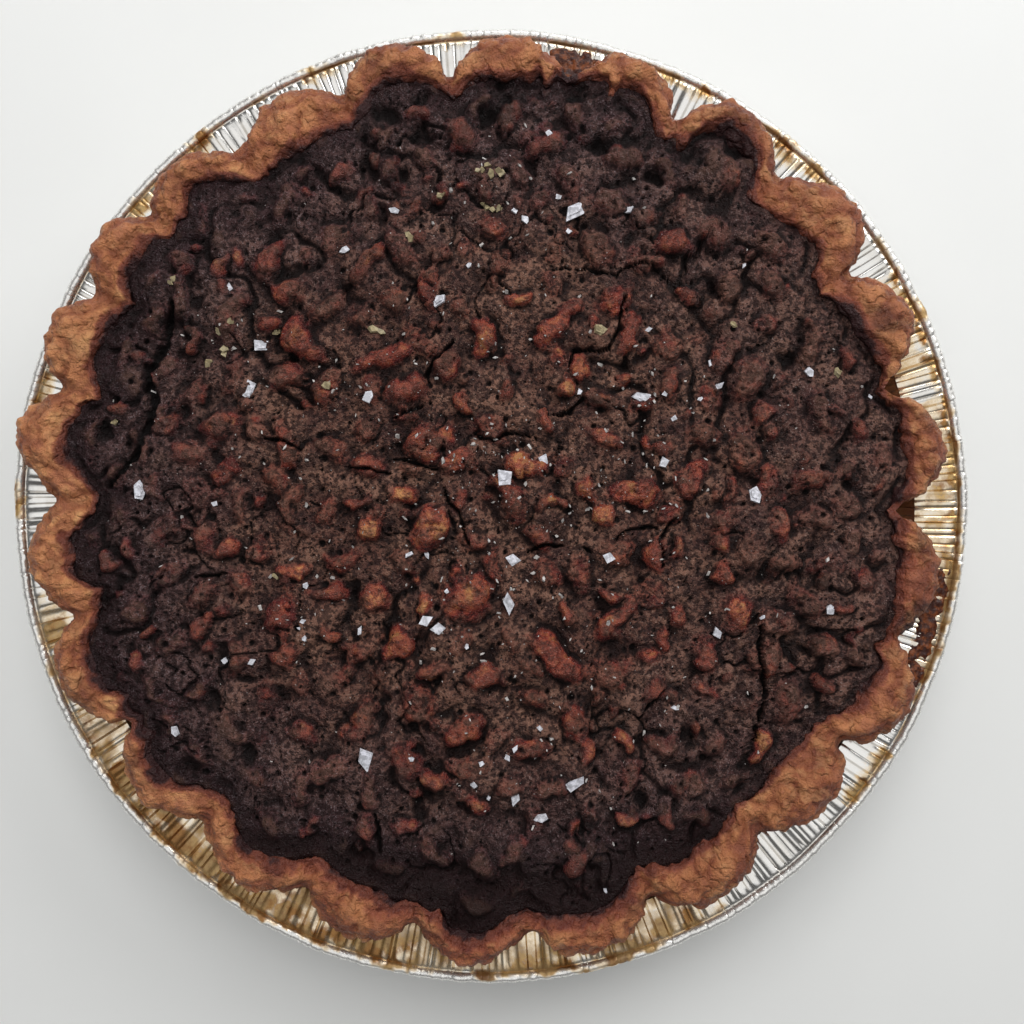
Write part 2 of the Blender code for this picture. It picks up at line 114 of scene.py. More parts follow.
def fromPhoto(across, down):
    # place on the filling seen at these pixels of the picture, in millimetres
    return (photo["pieX"] + (across - photo["middle"]) * photo["pixel"],
            photo["pieY"] - (down - photo["middle"]) * photo["pixel"])


def distanceToLine(x, y, line):
    # distance to a bent line, and how far along it the nearest place is, from 0 to 1
    nearest, along = np.full(len(x), 1e3), np.zeros(len(x))
    pieces = len(line) - 1
    for index in range(pieces):
        (startX, startY), (endX, endY) = line[index], line[index + 1]
        stepX, stepY = endX - startX, endY - startY
        share = ((x - startX) * stepX + (y - startY) * stepY) / (stepX**2 + stepY**2)
        share = np.clip(share, 0.0, 1.0)
        away = np.hypot(x - startX - share * stepX, y - startY - share * stepY)
        closer = away < nearest
        nearest[closer], along[closer] = away[closer], ((index + share) / pieces)[closer]
    return nearest, along


def makePiece(name, points, faces, finish, marks=None, sharpAngle=None, normals=None):
    mesh = bpy.data.meshes.new(name)
    mesh.from_pydata((np.asarray(points) * mm).tolist(), [], [list(face) for face in faces])
    mesh.update()
    mesh.shade_smooth()
    if sharpAngle:
        mesh.set_sharp_from_angle(angle=math.radians(sharpAngle))
    for markName, values in (marks or {}).items():
        mark = mesh.attributes.new(markName, "FLOAT", "POINT")
        mark.data.foreach_set("value", np.asarray(values, dtype=np.float32))
    if normals is not None:
        mesh.normals_split_custom_set_from_vertices(normals.tolist())
    mesh.materials.append(finish)
    piece = bpy.data.objects.new(name, mesh)
    bpy.context.scene.collection.objects.link(piece)
    print(f"{name}: {sum(len(face) - 2 for face in faces)} triangles")
    return piece


def gridFaces(rows, columns, wrap):
    # quads of a grid of points, row by row; wrap joins the last column to the first
    index = np.arange(rows * columns).reshape(rows, columns)
    after = np.roll(index, -1, axis=1)
    if not wrap:
        index, after = index[:, :-1], after[:, :-1]
    return np.stack([index[:-1], after[:-1], after[1:], index[1:]], axis=-1).reshape(-1, 4)


def closedFaces(rows, columns):
    # rows of points that go round, closed by a fan at each end; the fans' middles are the two points after them
    faces = gridFaces(rows, columns, wrap=True).tolist()
    last, low, high = (rows - 1) * columns, rows * columns, rows * columns + 1
    for index in range(columns):
        after = (index + 1) % columns
        faces += [[index, low, after], [last + index, last + after, high]]
    return faces


# Small tools for finishes

class Wire:
    # an output of a shader node; expressions on it add Math nodes
    def __init__(self, finish, socket):
        self.finish, self.socket = finish, socket

    def maths(self, operation, first, second, clamp=False):
        settings = {"operation": operation, "use_clamp": clamp}
        return self.finish.add("ShaderNodeMath", settings, {0: first, 1: second})

    def __add__(self, other):
        return self.maths("ADD", self, other)

    def __radd__(self, other):
        return self.maths("ADD", other, self)

    def __sub__(self, other):
        return self.maths("SUBTRACT", self, other)

    def __rsub__(self, other):
        return self.maths("SUBTRACT", other, self)

    def __mul__(self, other):
        return self.maths("MULTIPLY", self, other)

    def __rmul__(self, other):
        return self.maths("MULTIPLY", other, self)

    def clip(self):
        return self.maths("ADD", self, 0.0, clamp=True)

    def between(self, low, high):
        # 0 at low and 1 at high, eased
        values = {"Value": self, "From Min": low, "From Max": high, "To Min": 0.0, "To Max": 1.0}
        return self.finish.add("ShaderNodeMapRange", {"interpolation_type": "SMOOTHSTEP"}, values)


class Finish:
    # a material under construction, or the room round everything; there place is the direction looked in
    def __init__(self, name, *marks, room=False):
        self.made = (bpy.data.worlds if room else bpy.data.materials).new(name)
        self.made.use_nodes = True
        self.tree = self.made.node_tree
        self.tree.nodes.clear()
        self.place = self.add("ShaderNodeTexCoord", output="Generated" if room else "Object")
        self.marks = [self.add("ShaderNodeAttribute", {"attribute_name": mark}, output="Fac") for mark in marks]

    def add(self, kind, settings=None, inputs=None, output=0):
        node = self.tree.nodes.new(kind)
        for name, value in (settings or {}).items():
            if name == "stops":
                ramp = node.color_ramp
                for position, _ in value[2:]:
                    ramp.elements.new(position)
                for element, (position, colour) in zip(ramp.elements, sorted(value)):
                    element.position, element.color = position, (*colour, 1.0)
            else:
                setattr(node, name, value)
        for key, value in (inputs or {}).items():
            socket = node.inputs[key]
            if isinstance(value, Wire):
                self.tree.links.new(value.socket, socket)
            else:
                socket.default_value = (*value, 1.0) if socket.type == "RGBA" else value
        return Wire(self, node.outputs[output]) if node.outputs else None

    def moved(self, shift):
        if not shift:
            return self.place
        step = (shift, -shift, 0.5 * shift)
        return self.add("ShaderNodeVectorMath", {"operation": "ADD"}, {0: self.place, 1: step})

    def grain(self, size, detail=2.0, rough=0.5, shift=0.0):
        # soft cloudy noise, blobs about size millimetres across
        values = {"Vector": self.moved(shift), "Scale": 1.0 / (size * mm), "Detail": detail, "Roughness": rough}
        return self.add("ShaderNodeTexNoise", None, values)

    def pits(self, size, shift):
        # 0 in the middle of each scattered pit
        values = {"Vector": self.moved(shift), "Scale": 1.0 / (size * mm)}
        return self.add("ShaderNodeTexVoronoi", None, values, output="Distance")

    def mix(self, mask, first, second):
        settings = {"data_type": "RGBA", "clamp_factor": True}
        return self.add("ShaderNodeMix", settings, {0: mask, 6: first, 7: second}, output=2)

    def coats(self, colour, *layers):
        # each layer is a mask and the colour that it lays over what is below
        for mask, shade in layers:
            colour = self.mix(mask, colour, shade)
        return colour

    def ramp(self, value, *stops):
        return self.add("ShaderNodeValToRGB", {"stops": stops}, {0: value})

    def relief(self, height, depth, strength):
        values = {"Height": height, "Distance": depth * mm, "Strength": strength}
        return self.add("ShaderNodeBump", None, values)

    def done(self, **sockets):
        values = {name.replace("_", " "): value for name, value in sockets.items()}
        shader = self.add("ShaderNodeBsdfPrincipled", None, values)
        self.add("ShaderNodeOutputMaterial", None, {"Surface": shader})
        return self.made


# The crimped edge, one row for each scallop, counterclockwise from +X:
# direction of its tip, radius of the tip, pastry seen across the tip,
# radius of the valley that follows it, pastry seen across that valley, how sharp that valley is
scallops = np.array((
    (8.0, 115.8, 10.9, 103.9, 4.4, 0.9),
    (25.0, 116.8, 15.7, 109.5, 12.5, 0.9),
    (40.5, 119.8, 15.9, 112.0, 12.0, 0.3),
    (57.0, 119.5, 8.6, 110.2, 9.1, 0.9),
    (72.0, 119.1, 8.9, 110.7, 4.0, 0.5),
    (87.5, 119.2, 12.3, 110.0, 8.1, 0.8),
    (103.0, 119.9, 11.6, 112.0, 11.8, 0.4),
    (117.0, 117.1, 16.6, 111.0, 11.2, 0.3),
    (133.5, 118.2, 9.2, 115.0, 11.1, 0.4),
    (145.3, 120.8, 13.8, 115.0, 12.0, 0.2),
    (158.3, 120.7, 15.1, 114.5, 13.7, 0.4),
    (171.0, 121.0, 13.6, 111.5, 13.8, 0.1),
    (187.0, 117.6, 12.7, 110.0, 9.8, 0.8),
    (202.5, 117.6, 10.6, 107.7, 6.6, 0.8),
    (219.5, 115.1, 10.0, 109.5, 11.2, 0.1),
    (235.5, 114.9, 10.5, 108.8, 11.1, 0.3),
    (252.5, 114.8, 15.0, 108.2, 7.1, 0.6),
    (267.0, 115.3, 8.3, 109.5, 8.7, 0.4),
    (283.5, 116.3, 11.9, 108.5, 11.2, 0.6),
    (301.0, 115.4, 15.1, 109.0, 12.5, 0.5),
    (318.0, 114.5, 18.1, 108.5, 11.5, 0.5),
    (334.0, 118.3, 15.0, 108.5, 4.9, 0.6),
    (350.7, 115.0, 12.5, 104.1, 5.7, 0.7),
))
tips = scallops[:, 0]
valleys = 0.5 * (tips + np.append(tips[1:], tips[0] + 360.0))  # the valley that follows each tip

# Where a fold of pastry reaches farther in over the filling: direction, how far, half its width in degrees
folds = (
    (2, .8, 2.0), (35.7, 3.4, 1.2), (45, 1.2, 1.5), (52.5, -2.4, 1.0), (61.7, 3.8, 1.3), (67, 2.2, 1.6),
    (73.7, 3.4, .6), (82.4, 3.6, .8), (84.8, 1.4, 1.0), (136, 2.6, 1.3), (142, -1.8, 1.2), (150.3, 2.2, 1.0),
    (166, -2.6, 1.1), (184, -1.8, 1.0), (192, 3.8, 1.3), (207.3, 3.6, 1.5), (214, 2.2, 1.2), (223.5, 1.2, 1.0),
    (258, 1.6, 1.3), (263, 3.4, 1.2), (340, 4.0, 1.2), (355.5, 2.4, 1.5),
)


def crimpedEdge(angles):
    # for angles in radians: outer radius, pastry seen, share of the rise from valley to tip, share of the way round
    turn = np.degrees(angles) % 360.0
    turn = np.where(turn >= valleys[-1], turn - 360.0, turn)
    row = np.minimum(np.searchsorted(valleys, turn, side="right"), len(tips) - 1)
    start = np.where(row > 0, valleys[row - 1], valleys[-1] - 360.0)
    rising = turn < tips[row]
    partWay = np.where(rising, (turn - start) / (tips[row] - start),
                       (valleys[row] - turn) / (valleys[row] - tips[row]))
    partWay = np.clip(partWay, 0.0, 1.0)
    side = np.where(rising, row - 1, row)
    sharp = scallops[side, 5]
    share = (1.0 - sharp) * smoothStep(partWay, 0.0, 0.95) + sharp * np.sin(partWay * math.pi / 2.0)
    share = 1.0 - (1.0 - share)**1.2
    outer = scallops[side, 3] + (scallops[row, 1] - scallops[side, 3]) * share
    width = scallops[side, 4] + (scallops[row, 2] - scallops[side, 4]) * smoothStep(partWay)
    for direction, farther, half in folds:
        width = width + farther * hump(degreesFrom(turn, direction), half)
    return outer, width, share, partWay


def tuckedUnder(outer, seen):
    # radius at which the pastry's surface passes under the filling
    inner = pastry["tuckRadius"] + 0.45 * (seen - pastry["tuckRadius"])
    return np.minimum(np.minimum(inner, outer - 4.2), seen + 4.0)


def wallRadius(height):
    # of the tin's sloping wall
    foot, inset = tin["bottomRadius"] - tin["wallInset"], tin["wallInset"]
    return foot + (height - tin["wallFoot"]) / tin["wallRise"] * (tin["wallTopRadius"] - tin["bottomRadius"] + inset)


# The filling

filling = {
    "edgeHeight": 45.6, "dome": 0.2, "lumpHeight": 4.2, "lumpSize": 19.0, "lumpLevel": 0.22, "edgeFade": 11.0,
    "cells": 424, "middleShare": 0.7, "middleFloor": 35.0, "tuck": 1.8, "clearance": 0.4, "baseHeight": 4.8,
    "roundReach": 105.0,
    "foam": ((0.75, 8.0), (0.36, 3.8), (0.2, 1.9), (0.14, 1.15)),  # how high and how wide its ripples are
    "seed": 23, "nutLift": 0.5, "hiddenNuts": 230, "hiddenSpacing": 8.5, "hiddenReach": 104.0, "tries": 4000,
    "smallBits": 170, "smallReach": 98.0, "fineCrackDepth": 1.3,
    # spacing, seed, chance, least and most radius, depth
    "pores": ((5.5, 1, .75, .35, .95, 1.1), (2.6, 2, .6, .25, .55, .5)),
    # the nuts' skin from dark to light
    "nutSkin": ((0.0, (0.100, 0.018, 0.017)), (0.28, (0.210, 0.037, 0.028)), (0.55, (0.33, 0.070, 0.041)),
                (0.78, (0.45, 0.132, 0.058)), (1.0, (0.66, 0.30, 0.110))),
    "colours": {
        "foamDeep": (0.136, 0.057, 0.041), "foamPale": (0.255, 0.127, 0.088), "foamOuter": (0.086, 0.048, 0.050),
        "foamRim": (0.028, 0.012, 0.014), "film": (0.200, 0.045, 0.030), "filmOuter": (0.130, 0.036, 0.037),
        "scorchedAndShaded": (0.024, 0.010, 0.011), "blotch": (0.030, 0.010, 0.012), "crumbShade": (0.015, 0.006, 0.006),
        "speck": (0.31, 0.20, 0.150), "speckAndGlintOuter": (0.29, 0.235, 0.250), "poreShade": (0.008, 0.004, 0.004),
        "skinGlint": (0.62, 0.40, 0.31), "skinDark": (0.038, 0.012, 0.012), "skinOuter": (0.120, 0.030, 0.034),
        # crest is painted light on the crowns; the colours after it are painted shade: in hollows, crevices and
        # holes, and at the lower side of the rim
        "skinStain": (0.055, 0.014, 0.014), "crest": (0.26, 0.13, 0.085), "dip": (0.014, 0.006, 0.006),
        "creviceShade": (0.006, 0.002, 0.002), "hole": (0.004, 0.0025, 0.0025), "lowerSideShade": (0.010, 0.003, 0.003),
    },
}

# The largest walnut pieces: across, up, length, width, turn, height proud, how bare, how light
walnuts = (
    (-47, 41, 13, 8, -60, 2.6, .7, .3), (-55, 61, 12, 8, 75, 2.4, .5, .3), (-50, 54, 9, 6, 10, 1.8, .5, .4),
    (-27, 37, 16, 6, 12, 2.0, .8, .4), (-21, 29, 12, 8, 0, 2.2, .7, .3), (-10, 35, 9, 7, 80, 1.8, .6, .3),
    (-2, 42, 10, 6, 95, 1.8, .7, .4), (-16, 17, 13, 12, 30, 2.6, .5, .4), (-30, 9, 9, 8, 0, 2.0, .5, .3),
    (-53, 7, 9, 8, 120, 1.8, .4, .2), (-67, 20, 13, 9, 20, 2.2, .4, .2), (-75, 13, 11, 7, 0, 1.8, .3, .2),
    (9, 10, 12, 7, -8, 2.4, .9, .8), (17, 46, 15, 6, 45, 2.2, .8, .4), (23, 35, 8, 7, 90, 2.0, .6, .5),
    (35, 43, 12, 6, 80, 2.0, .6, .3), (35, 4, 16, 9, 10, 2.2, .7, .4), (28, 17, 9, 5, 0, 1.6, .6, .4),
    (46, 66, 11, 8, -10, 2.4, .8, .2), (68, 23, 8, 6, 90, 1.8, .5, .4), (-14, -6, 12, 10, 40, 2.2, .7, .6),
    (-30, -5, 9, 8, 70, 2.0, .7, .6), (-37, -13, 10, 6, 0, 1.8, .5, .3), (-29, -23, 9, 7, 60, 2.0, .6, .4),
    (-5, -24, 15, 13, 35, 2.8, .5, .4), (-52, -27, 11, 9, 80, 2.0, .7, .3), (-51, -37, 9, 6, 10, 1.8, .6, .4),
    (-23, -35, 11, 8, 70, 2.2, .7, .4), (-14, -41, 9, 5, 15, 1.8, .6, .4), (-2, -42, 9, 7, 20, 2.2, .6, .4),
    (-7, -55, 12, 9, 15, 2.4, .5, .3), (41, -12, 9, 7, 80, 1.8, .6, .4), (62, -27, 11, 10, 50, 2.6, .9, .6),
    (14, -17, 11, 9, 130, 2.0, .4, .3), (32, -28, 15, 6, 50, 1.8, .5, .2), (16, -38, 17, 8, -48, 2.8, .8, .3),
    (55, -37, 10, 8, 100, 2.2, .5, .1), (21, -54, 10, 8, 70, 2.2, .5, .3), (10, -61, 12, 8, 10, 2.2, .6, .4),
    (72, -5, 9, 7, 90, 2.0, .5, .3), (-72, -7, 9, 6, 80, 1.8, .4, .2), (-72, -22, 9, 7, 20, 1.8, .3, .2),
    (-8, 92, 10, 8, 120, 2.2, .4, .1), (14, 90, 11, 9, 30, 2.2, .5, .1), (33, 87, 10, 7, 20, 2.0, .3, .1),
    (-32, -80, 9, 6, 75, 1.8, .4, .2), (68, -61, 10, 6, 75, 2.0, .8, .9), (80, 7, 11, 7, 10, 1.8, .4, .2),
)

# Smaller pieces that show, as pixels across and down, length in millimetres, how light
smallWalnuts = (
    (271, 325, 6, .3), (462, 405, 5, .7), (403, 493, 7, .8), (460, 501, 5, .5), (360, 504, 6, .5), (507, 391, 5, .3),
    (518, 302, 6, .5), (559, 359, 6, .4), (566, 388, 5, .8), (543, 422, 5, .6), (664, 447, 5, .4), (587, 488, 6, .7),
    (546, 502, 5, .6), (687, 297, 5, .2), (295, 571, 7, .8), (424, 603, 6, .8), (457, 574, 6, .5), (453, 597, 5, .4),
    (285, 652, 6, .8), (331, 630, 5, .4), (305, 731, 7, .2), (603, 515, 6, .8), (677, 548, 5, .4), (721, 574, 5, .5),
    (610, 594, 5, .4), (567, 613, 5, .4), (677, 616, 5, .4), (664, 638, 5, .5), (647, 656, 6, .5), (584, 750, 6, .5),
    (623, 739, 5, .8), (840, 608, 5, .3), (822, 683, 6, .3), (131, 548, 5, .3), (113, 561, 5, .2), (201, 626, 6, .3),
    (139, 659, 5, .2), (229, 546, 6, .3), (196, 339, 6, .2), (121, 408, 5, .2), (242, 262, 5, .9), (225, 269, 5, .5),
    (418, 116, 6, .1), (343, 178, 6, .2), (485, 193, 5, .2), (442, 196, 5, .3), (845, 359, 6, .3), (859, 432, 6, .3),
    (405, 825, 6, .3), (434, 778, 6, .7), (475, 801, 6, .4), (313, 820, 5, .2), (626, 815, 5, .9), (577, 858, 7, .2),
    (664, 815, 5, .3),
)

# Cracks in the top, as pixels across and down: half width and depth in millimetres, then the line
cracks = (
    (.55, 2.4, (452, 341), (429, 370), (429, 385)), (.5, 2.2, (432, 403), (415, 409), (395, 419)),
    (.5, 2.2, (395, 458), (416, 463), (440, 471)), (.55, 2.4, (266, 440), (284, 443), (300, 450)),
    (.5, 2.4, (626, 300), (616, 334), (608, 352), (574, 354), (569, 367)),
    (.55, 2.4, (582, 400), (567, 414), (549, 416)),
    (.45, 2.0, (558, 271), (585, 271), (613, 277), (630, 269), (652, 266), (665, 280)),
    (.6, 2.4, (528, 554), (545, 546), (563, 547)), (.5, 2.0, (585, 546), (592, 553)),
    (.5, 2.2, (616, 541), (623, 530), (641, 527), (657, 530)), (.55, 2.4, (661, 566), (659, 541), (675, 517)),
    (.5, 2.2, (639, 718), (652, 701), (664, 692)), (.8, 3.0, (760, 626), (757, 659), (763, 692), (750, 740)),
    (1.9, 2.6, (176, 305), (168, 345), (150, 372), (156, 403), (143, 447), (114, 485)),
    (.6, 2.4, (377, 814), (380, 854)), (.55, 2.4, (196, 577), (228, 572)),
    (.6, 2.6, (445, 487), (448, 505), (462, 520), (470, 545)),
    (.5, 2.4, (476, 436), (492, 440), (512, 434), (533, 437)), (.5, 2.2, (352, 468), (370, 470), (392, 474)),
)

# Dark hollows: pixels across and down, radius and depth in millimetres
hollows = (
    (385, 120, 3.4, 2.6), (420, 140, 3.0, 2.2), (400, 181, 3.0, 2.2), (652, 178, 3.0, 2.5), (692, 163, 3.5, 2.8),
    (148, 343, .9, 2.5), (444, 450, .8, 2.5), (735, 150, 4.0, 2.5), (500, 95, 3.0, 1.6), (575, 100, 3.0, 1.6),
    (490, 115, 3.5, 1.8), (600, 150, 3.0, 2.0), (170, 330, 3.5, 2.2), (180, 410, 3.0, 2.0), (105, 430, 3.0, 1.6),
    (430, 790, 3.2, 2.0), (690, 735, 3.5, 2.2), (585, 820, 3.0, 1.8), (360, 845, 3.5, 1.8), (250, 755, 3.0, 1.8),
    (785, 360, 3.0, 2.0), (850, 480, 3.0, 1.6), (770, 570, 3.2, 2.0), (640, 800, 3.0, 1.8), (215, 700, 3.0, 1.8),
)

fillingMarks = "bare", "tone", "thin", "pit", "cave", "sunk", "rim", "edge", "outer"


def coreHeight(x, y, away):
    # the same low dome of pillows as the solid
    def bulge(a, b):
        return abs(noise.noise(Vector((a, b, 0.0))))
    inside = smoothStep(away / filling["edgeFade"])
    dome = filling["dome"] * np.clip(1.0 - (x**2 + y**2) / tin["flangeInnerRadius"]**2, 0.0, 1.0)
    size = filling["lumpSize"]
    pillows = np.array([bulge(a, b) + 0.5 * bulge(2.1 * a, 2.1 * b)
                        for a, b in zip((x / size).tolist(), (y / size).tolist())])
    return filling["edgeHeight"] + inside * (dome + filling["lumpHeight"] * (pillows - filling["lumpLevel"]))


def discPlaces(cells):
    # a square grid bent to a round one: x, y from -1 to 1 and each point's reach
    line = np.linspace(-1.0, 1.0, cells + 1)
    a, b = (part.ravel() for part in np.meshgrid(line, line))
    wide = np.abs(a) > np.abs(b)
    safeA, safeB = np.where(a == 0.0, 1.0, a), np.where(b == 0.0, 1.0, b)
    reach = np.where(wide, a, b)
    turn = np.where(wide, math.pi / 4.0 * (b / safeA), math.pi / 2.0 - math.pi / 4.0 * (a / safeB))
    return reach * np.cos(turn), reach * np.sin(turn), np.abs(reach)


def squareLoop(cells, low, high):
    # indices of the grid's points round the square from low to high, in order
    side = cells + 1
    span, back = range(low, high), range(high, low, -1)
    return ([low * side + step for step in span] + [step * side + high for step in span]
            + [high * side + step for step in back] + [step * side + low for step in back])


def allNuts():
    # every walnut piece as (place, size and turn), how bare, how light
    draw = random.Random(filling["seed"])
    laid = [(row[:6], row[6], row[7]) for row in walnuts]
    for across, down, length, light in smallWalnuts:
        width, turn, proud = length * draw.uniform(.6, .85), draw.uniform(0, 180), draw.uniform(1.2, 1.9)
        laid.append(((*fromPhoto(across, down), 1.15 * length, width, turn, proud), .4 + .5 * light, light))
    taken = [row[0][:2] for row in laid]
    most = len(laid) + filling["hiddenNuts"]
    for _ in range(filling["tries"]):
        if len(laid) > most:
            break
        turn, far = draw.uniform(0, 2 * math.pi), filling["hiddenReach"] * math.sqrt(draw.random())
        spotX, spotY = far * math.cos(turn), far * math.sin(turn)
        if min(math.hypot(spotX - a, spotY - b) for a, b in taken) < filling["hiddenSpacing"]:
            continue
        taken.append((spotX, spotY))
        length = draw.uniform(7.5, 13.5)
        width, turn, proud = max(4.5, length * draw.uniform(.45, .8)), draw.uniform(0, 180), draw.uniform(0.2, 1.7)
        inner = fallOff(np.float64(far), 60.0, 98.0)
        bare = draw.uniform(0.0, 0.25) + inner * draw.uniform(0.05, 0.4)
        laid.append(((spotX, spotY, length, width, turn, proud), bare, draw.uniform(0.0, 0.45)))
    for _ in range(filling["smallBits"]):
        turn, far = draw.uniform(0, 2 * math.pi), filling["smallReach"] * math.sqrt(draw.random())
        length = draw.uniform(2.6, 5.0)
        nut = (far * math.cos(turn), far * math.sin(turn), length, length * draw.uniform(.6, .95),
               draw.uniform(0, 180), draw.uniform(0.4, 1.1))
        laid.append((nut, draw.uniform(0.2, 0.6), draw.uniform(0.1, 0.7)))
    return laid


def layNut(places, look, nut, bareness, tone, seed):
    # raises one walnut piece out of the foam; look holds marks for every point of the filling
    across, up, length, width, turn, proud = nut
    x, y = places[:, 0], places[:, 1]
    near = np.nonzero(np.hypot(x - across, y - up) < 0.8 * length + 2.5)[0]
    if not len(near):
        return
    own = random.Random(seed)
    spot = places[near]
    turned = math.radians(turn)
    stepX, stepY = x[near] - across, y[near] - up
    u = stepX * math.cos(turned) + stepY * math.sin(turned) + look["warpA"][near]
    v = stepY * math.cos(turned) - stepX * math.sin(turned) + look["warpB"][near]
    bend = own.uniform(-0.35, 0.35) if length > 1.3 * width else 0.0
    v = v - bend * (u * u / (0.5 * length) - 0.15 * length)
    # a few rounded lobes in a row melt into one body
    lobes = max(2, round(2.0 * length / width))
    body = np.zeros(len(near))
    for index in range(lobes):
        reach = 0.5 * width * own.uniform(0.78, 1.15)
        middle = (index / (lobes - 1.0) - 0.5) * (length - 1.9 * reach)
        aside = 0.16 * width * own.uniform(-1.0, 1.0)
        lobe = np.clip(1.0 - ((u - middle)**2 * 0.75 + (v - aside)**2) / reach**2, 0.0, 1.0)
        body = body + lobe**1.5
    body = np.minimum(body, 1.3)**0.6
    ridge = ripple(spot, 2.8, seed + 7)
    furrow = fallOff(np.abs(ridge), 0.0, 0.25) * smoothStep(np.full(len(near), width), 4.0, 9.0)
    centre = near[np.argmin(np.hypot(stepX, stepY))]
    crown = look["core"][centre] + filling["nutLift"] + 0.85 * proud
    thick = min(4.0, 0.5 * width)
    nutTop = crown - thick * (1.0 - body) - 0.55 * furrow * np.minimum(body, 1.0)
    nutTop += 0.45 * ripple(spot, 3.2, seed + 9) + 0.2 * ripple(spot, 1.5, seed + 11)
    nutTop[body < 0.05] -= 5.0
    base = look["top"][near]
    nutTop -= 5.0 * fallOff(look["away"][near], 1.0, 6.5)  # none stands on the pastry
    above = nutTop - base
    look["top"][near] = 0.5 * (base + nutTop + np.sqrt(above**2 + 0.6))
    # how much of the nut the foam has run off
    film = 1.7 * bareness - 0.65 + 0.7 * ripple(spot, 5.0, seed + 13) + 0.5 * ripple(spot, 1.9, seed + 17)
    bare = smoothStep(above + 0.4 * ripple(spot, 2.0, seed + 15), 0.0, 1.9) * smoothStep(film, -0.5, 0.9)
    # in places the foam has drawn back from the nut and left a seam, with painted shade in it
    seam = hump(above + 0.4, 0.5) * smoothStep(ripple(spot, 7.0, seed + 19), 0.1, 0.6)
    seam *= 0.3 + 0.7 * min(1.0, bareness * 1.5)
    look["top"][near] -= 0.7 * seam
    stronger = bare > look["bare"][near]
    # lighter towards the top of the nut: a painted highlight on its crown
    shade = 0.75 * tone + 0.35 * ripple(spot, 4.0, seed + 23) + 0.5 * (smoothStep(above, 0.4, 2.8) - 0.55)
    look["tone"][near] = np.where(stronger, shade, look["tone"][near])
    look["bare"][near] = np.maximum(look["bare"][near], bare)
    halo = smoothStep(above, -1.8, 0.6) * min(1.0, 0.35 + 1.2 * bareness)
    look["thin"][near] = np.maximum(look["thin"][near], halo * (0.75 + 0.6 * ripple(spot, 4.0, seed + 27)))
    # painted shade in the seam and in the furrow of a bare nut
    look["pit"][near] = np.clip(look["pit"][near] * (1.0 - 0.7 * bare) + 0.55 * seam + 0.3 * furrow * bare, 0.0, 1.0)


def softened(square, reach):
    # the same heights blurred: three box blurs, each reach cells to either side
    width = 2 * reach + 1
    for axis in (0, 1) * 3:
        around = [(reach + 1, reach) if side == axis else (0, 0) for side in (0, 1)]
        total = np.cumsum(np.pad(square, around, mode="edge"), axis=axis)
        end = total.shape[axis]
        square = (np.take(total, range(width, end), axis=axis)
                  - np.take(total, range(end - width), axis=axis)) / width
    return square


def cutInto(look, cut, depth, darkness=1.0):
    # cuts the top down and paints shade into the cut
    look["top"] -= depth * cut
    look["pit"] = np.maximum(look["pit"], darkness * cut)


def cutCracks(places, look, fade):
    x, y = places[:, 0], places[:, 1]
    jagged = [0.55 * ripple(places, 2.6, seed) + 0.8 * ripple(places, 7.0, seed + 20) for seed in (31, 32)]
    ragged = 0.8 + 0.5 * ripple(places, 1.6, 33)
    for halfWidth, depth, *line in cracks:
        off, along = distanceToLine(x + jagged[0], y + jagged[1], [fromPhoto(*spot) for spot in line])
        opening = halfWidth * ragged * (0.45 + 0.55 * np.sin(np.pi * np.clip(along, 0.06, 0.94)))
        cutInto(look, fallOff(off / np.maximum(opening, 0.1), 0.35, 1.25), depth)
    for across, down, radius, depth in hollows:
        spotX, spotY = fromPhoto(across, down)
        off = np.hypot(x - spotX + look["warpA"] * 0.6 * radius, y - spotY + look["warpB"] * 0.6 * radius)
        cutInto(look, fallOff(off / radius, 0.2, 1.3), depth, 0.75)
    # finer cracks that follow where the noise changes sign, and round pores
    line = np.abs(ripple(places, 13.0, 35) + 0.25 * ripple(places, 4.0, 36))
    gate = smoothStep(ripple(places, 24.0, 37) + 0.4 * ripple(places, 7.0, 38), 0.05, 0.35)
    cut = fallOff(line, 0.0, 0.05) * gate * (1.0 - 0.8 * look["bare"]) * fade
    cutInto(look, cut, filling["fineCrackDepth"], 0.8)
    for spacing, seed, chance, least, most, depth in filling["pores"]:
        off, own = scattered(places, spacing, seed, chance)
        hole = fallOff(off / (least + (most - least) * own**3), 0.5, 1.2)
        hole *= (1.0 - 0.85 * look["bare"]) * fade
        cutInto(look, hole, depth, 0.85)


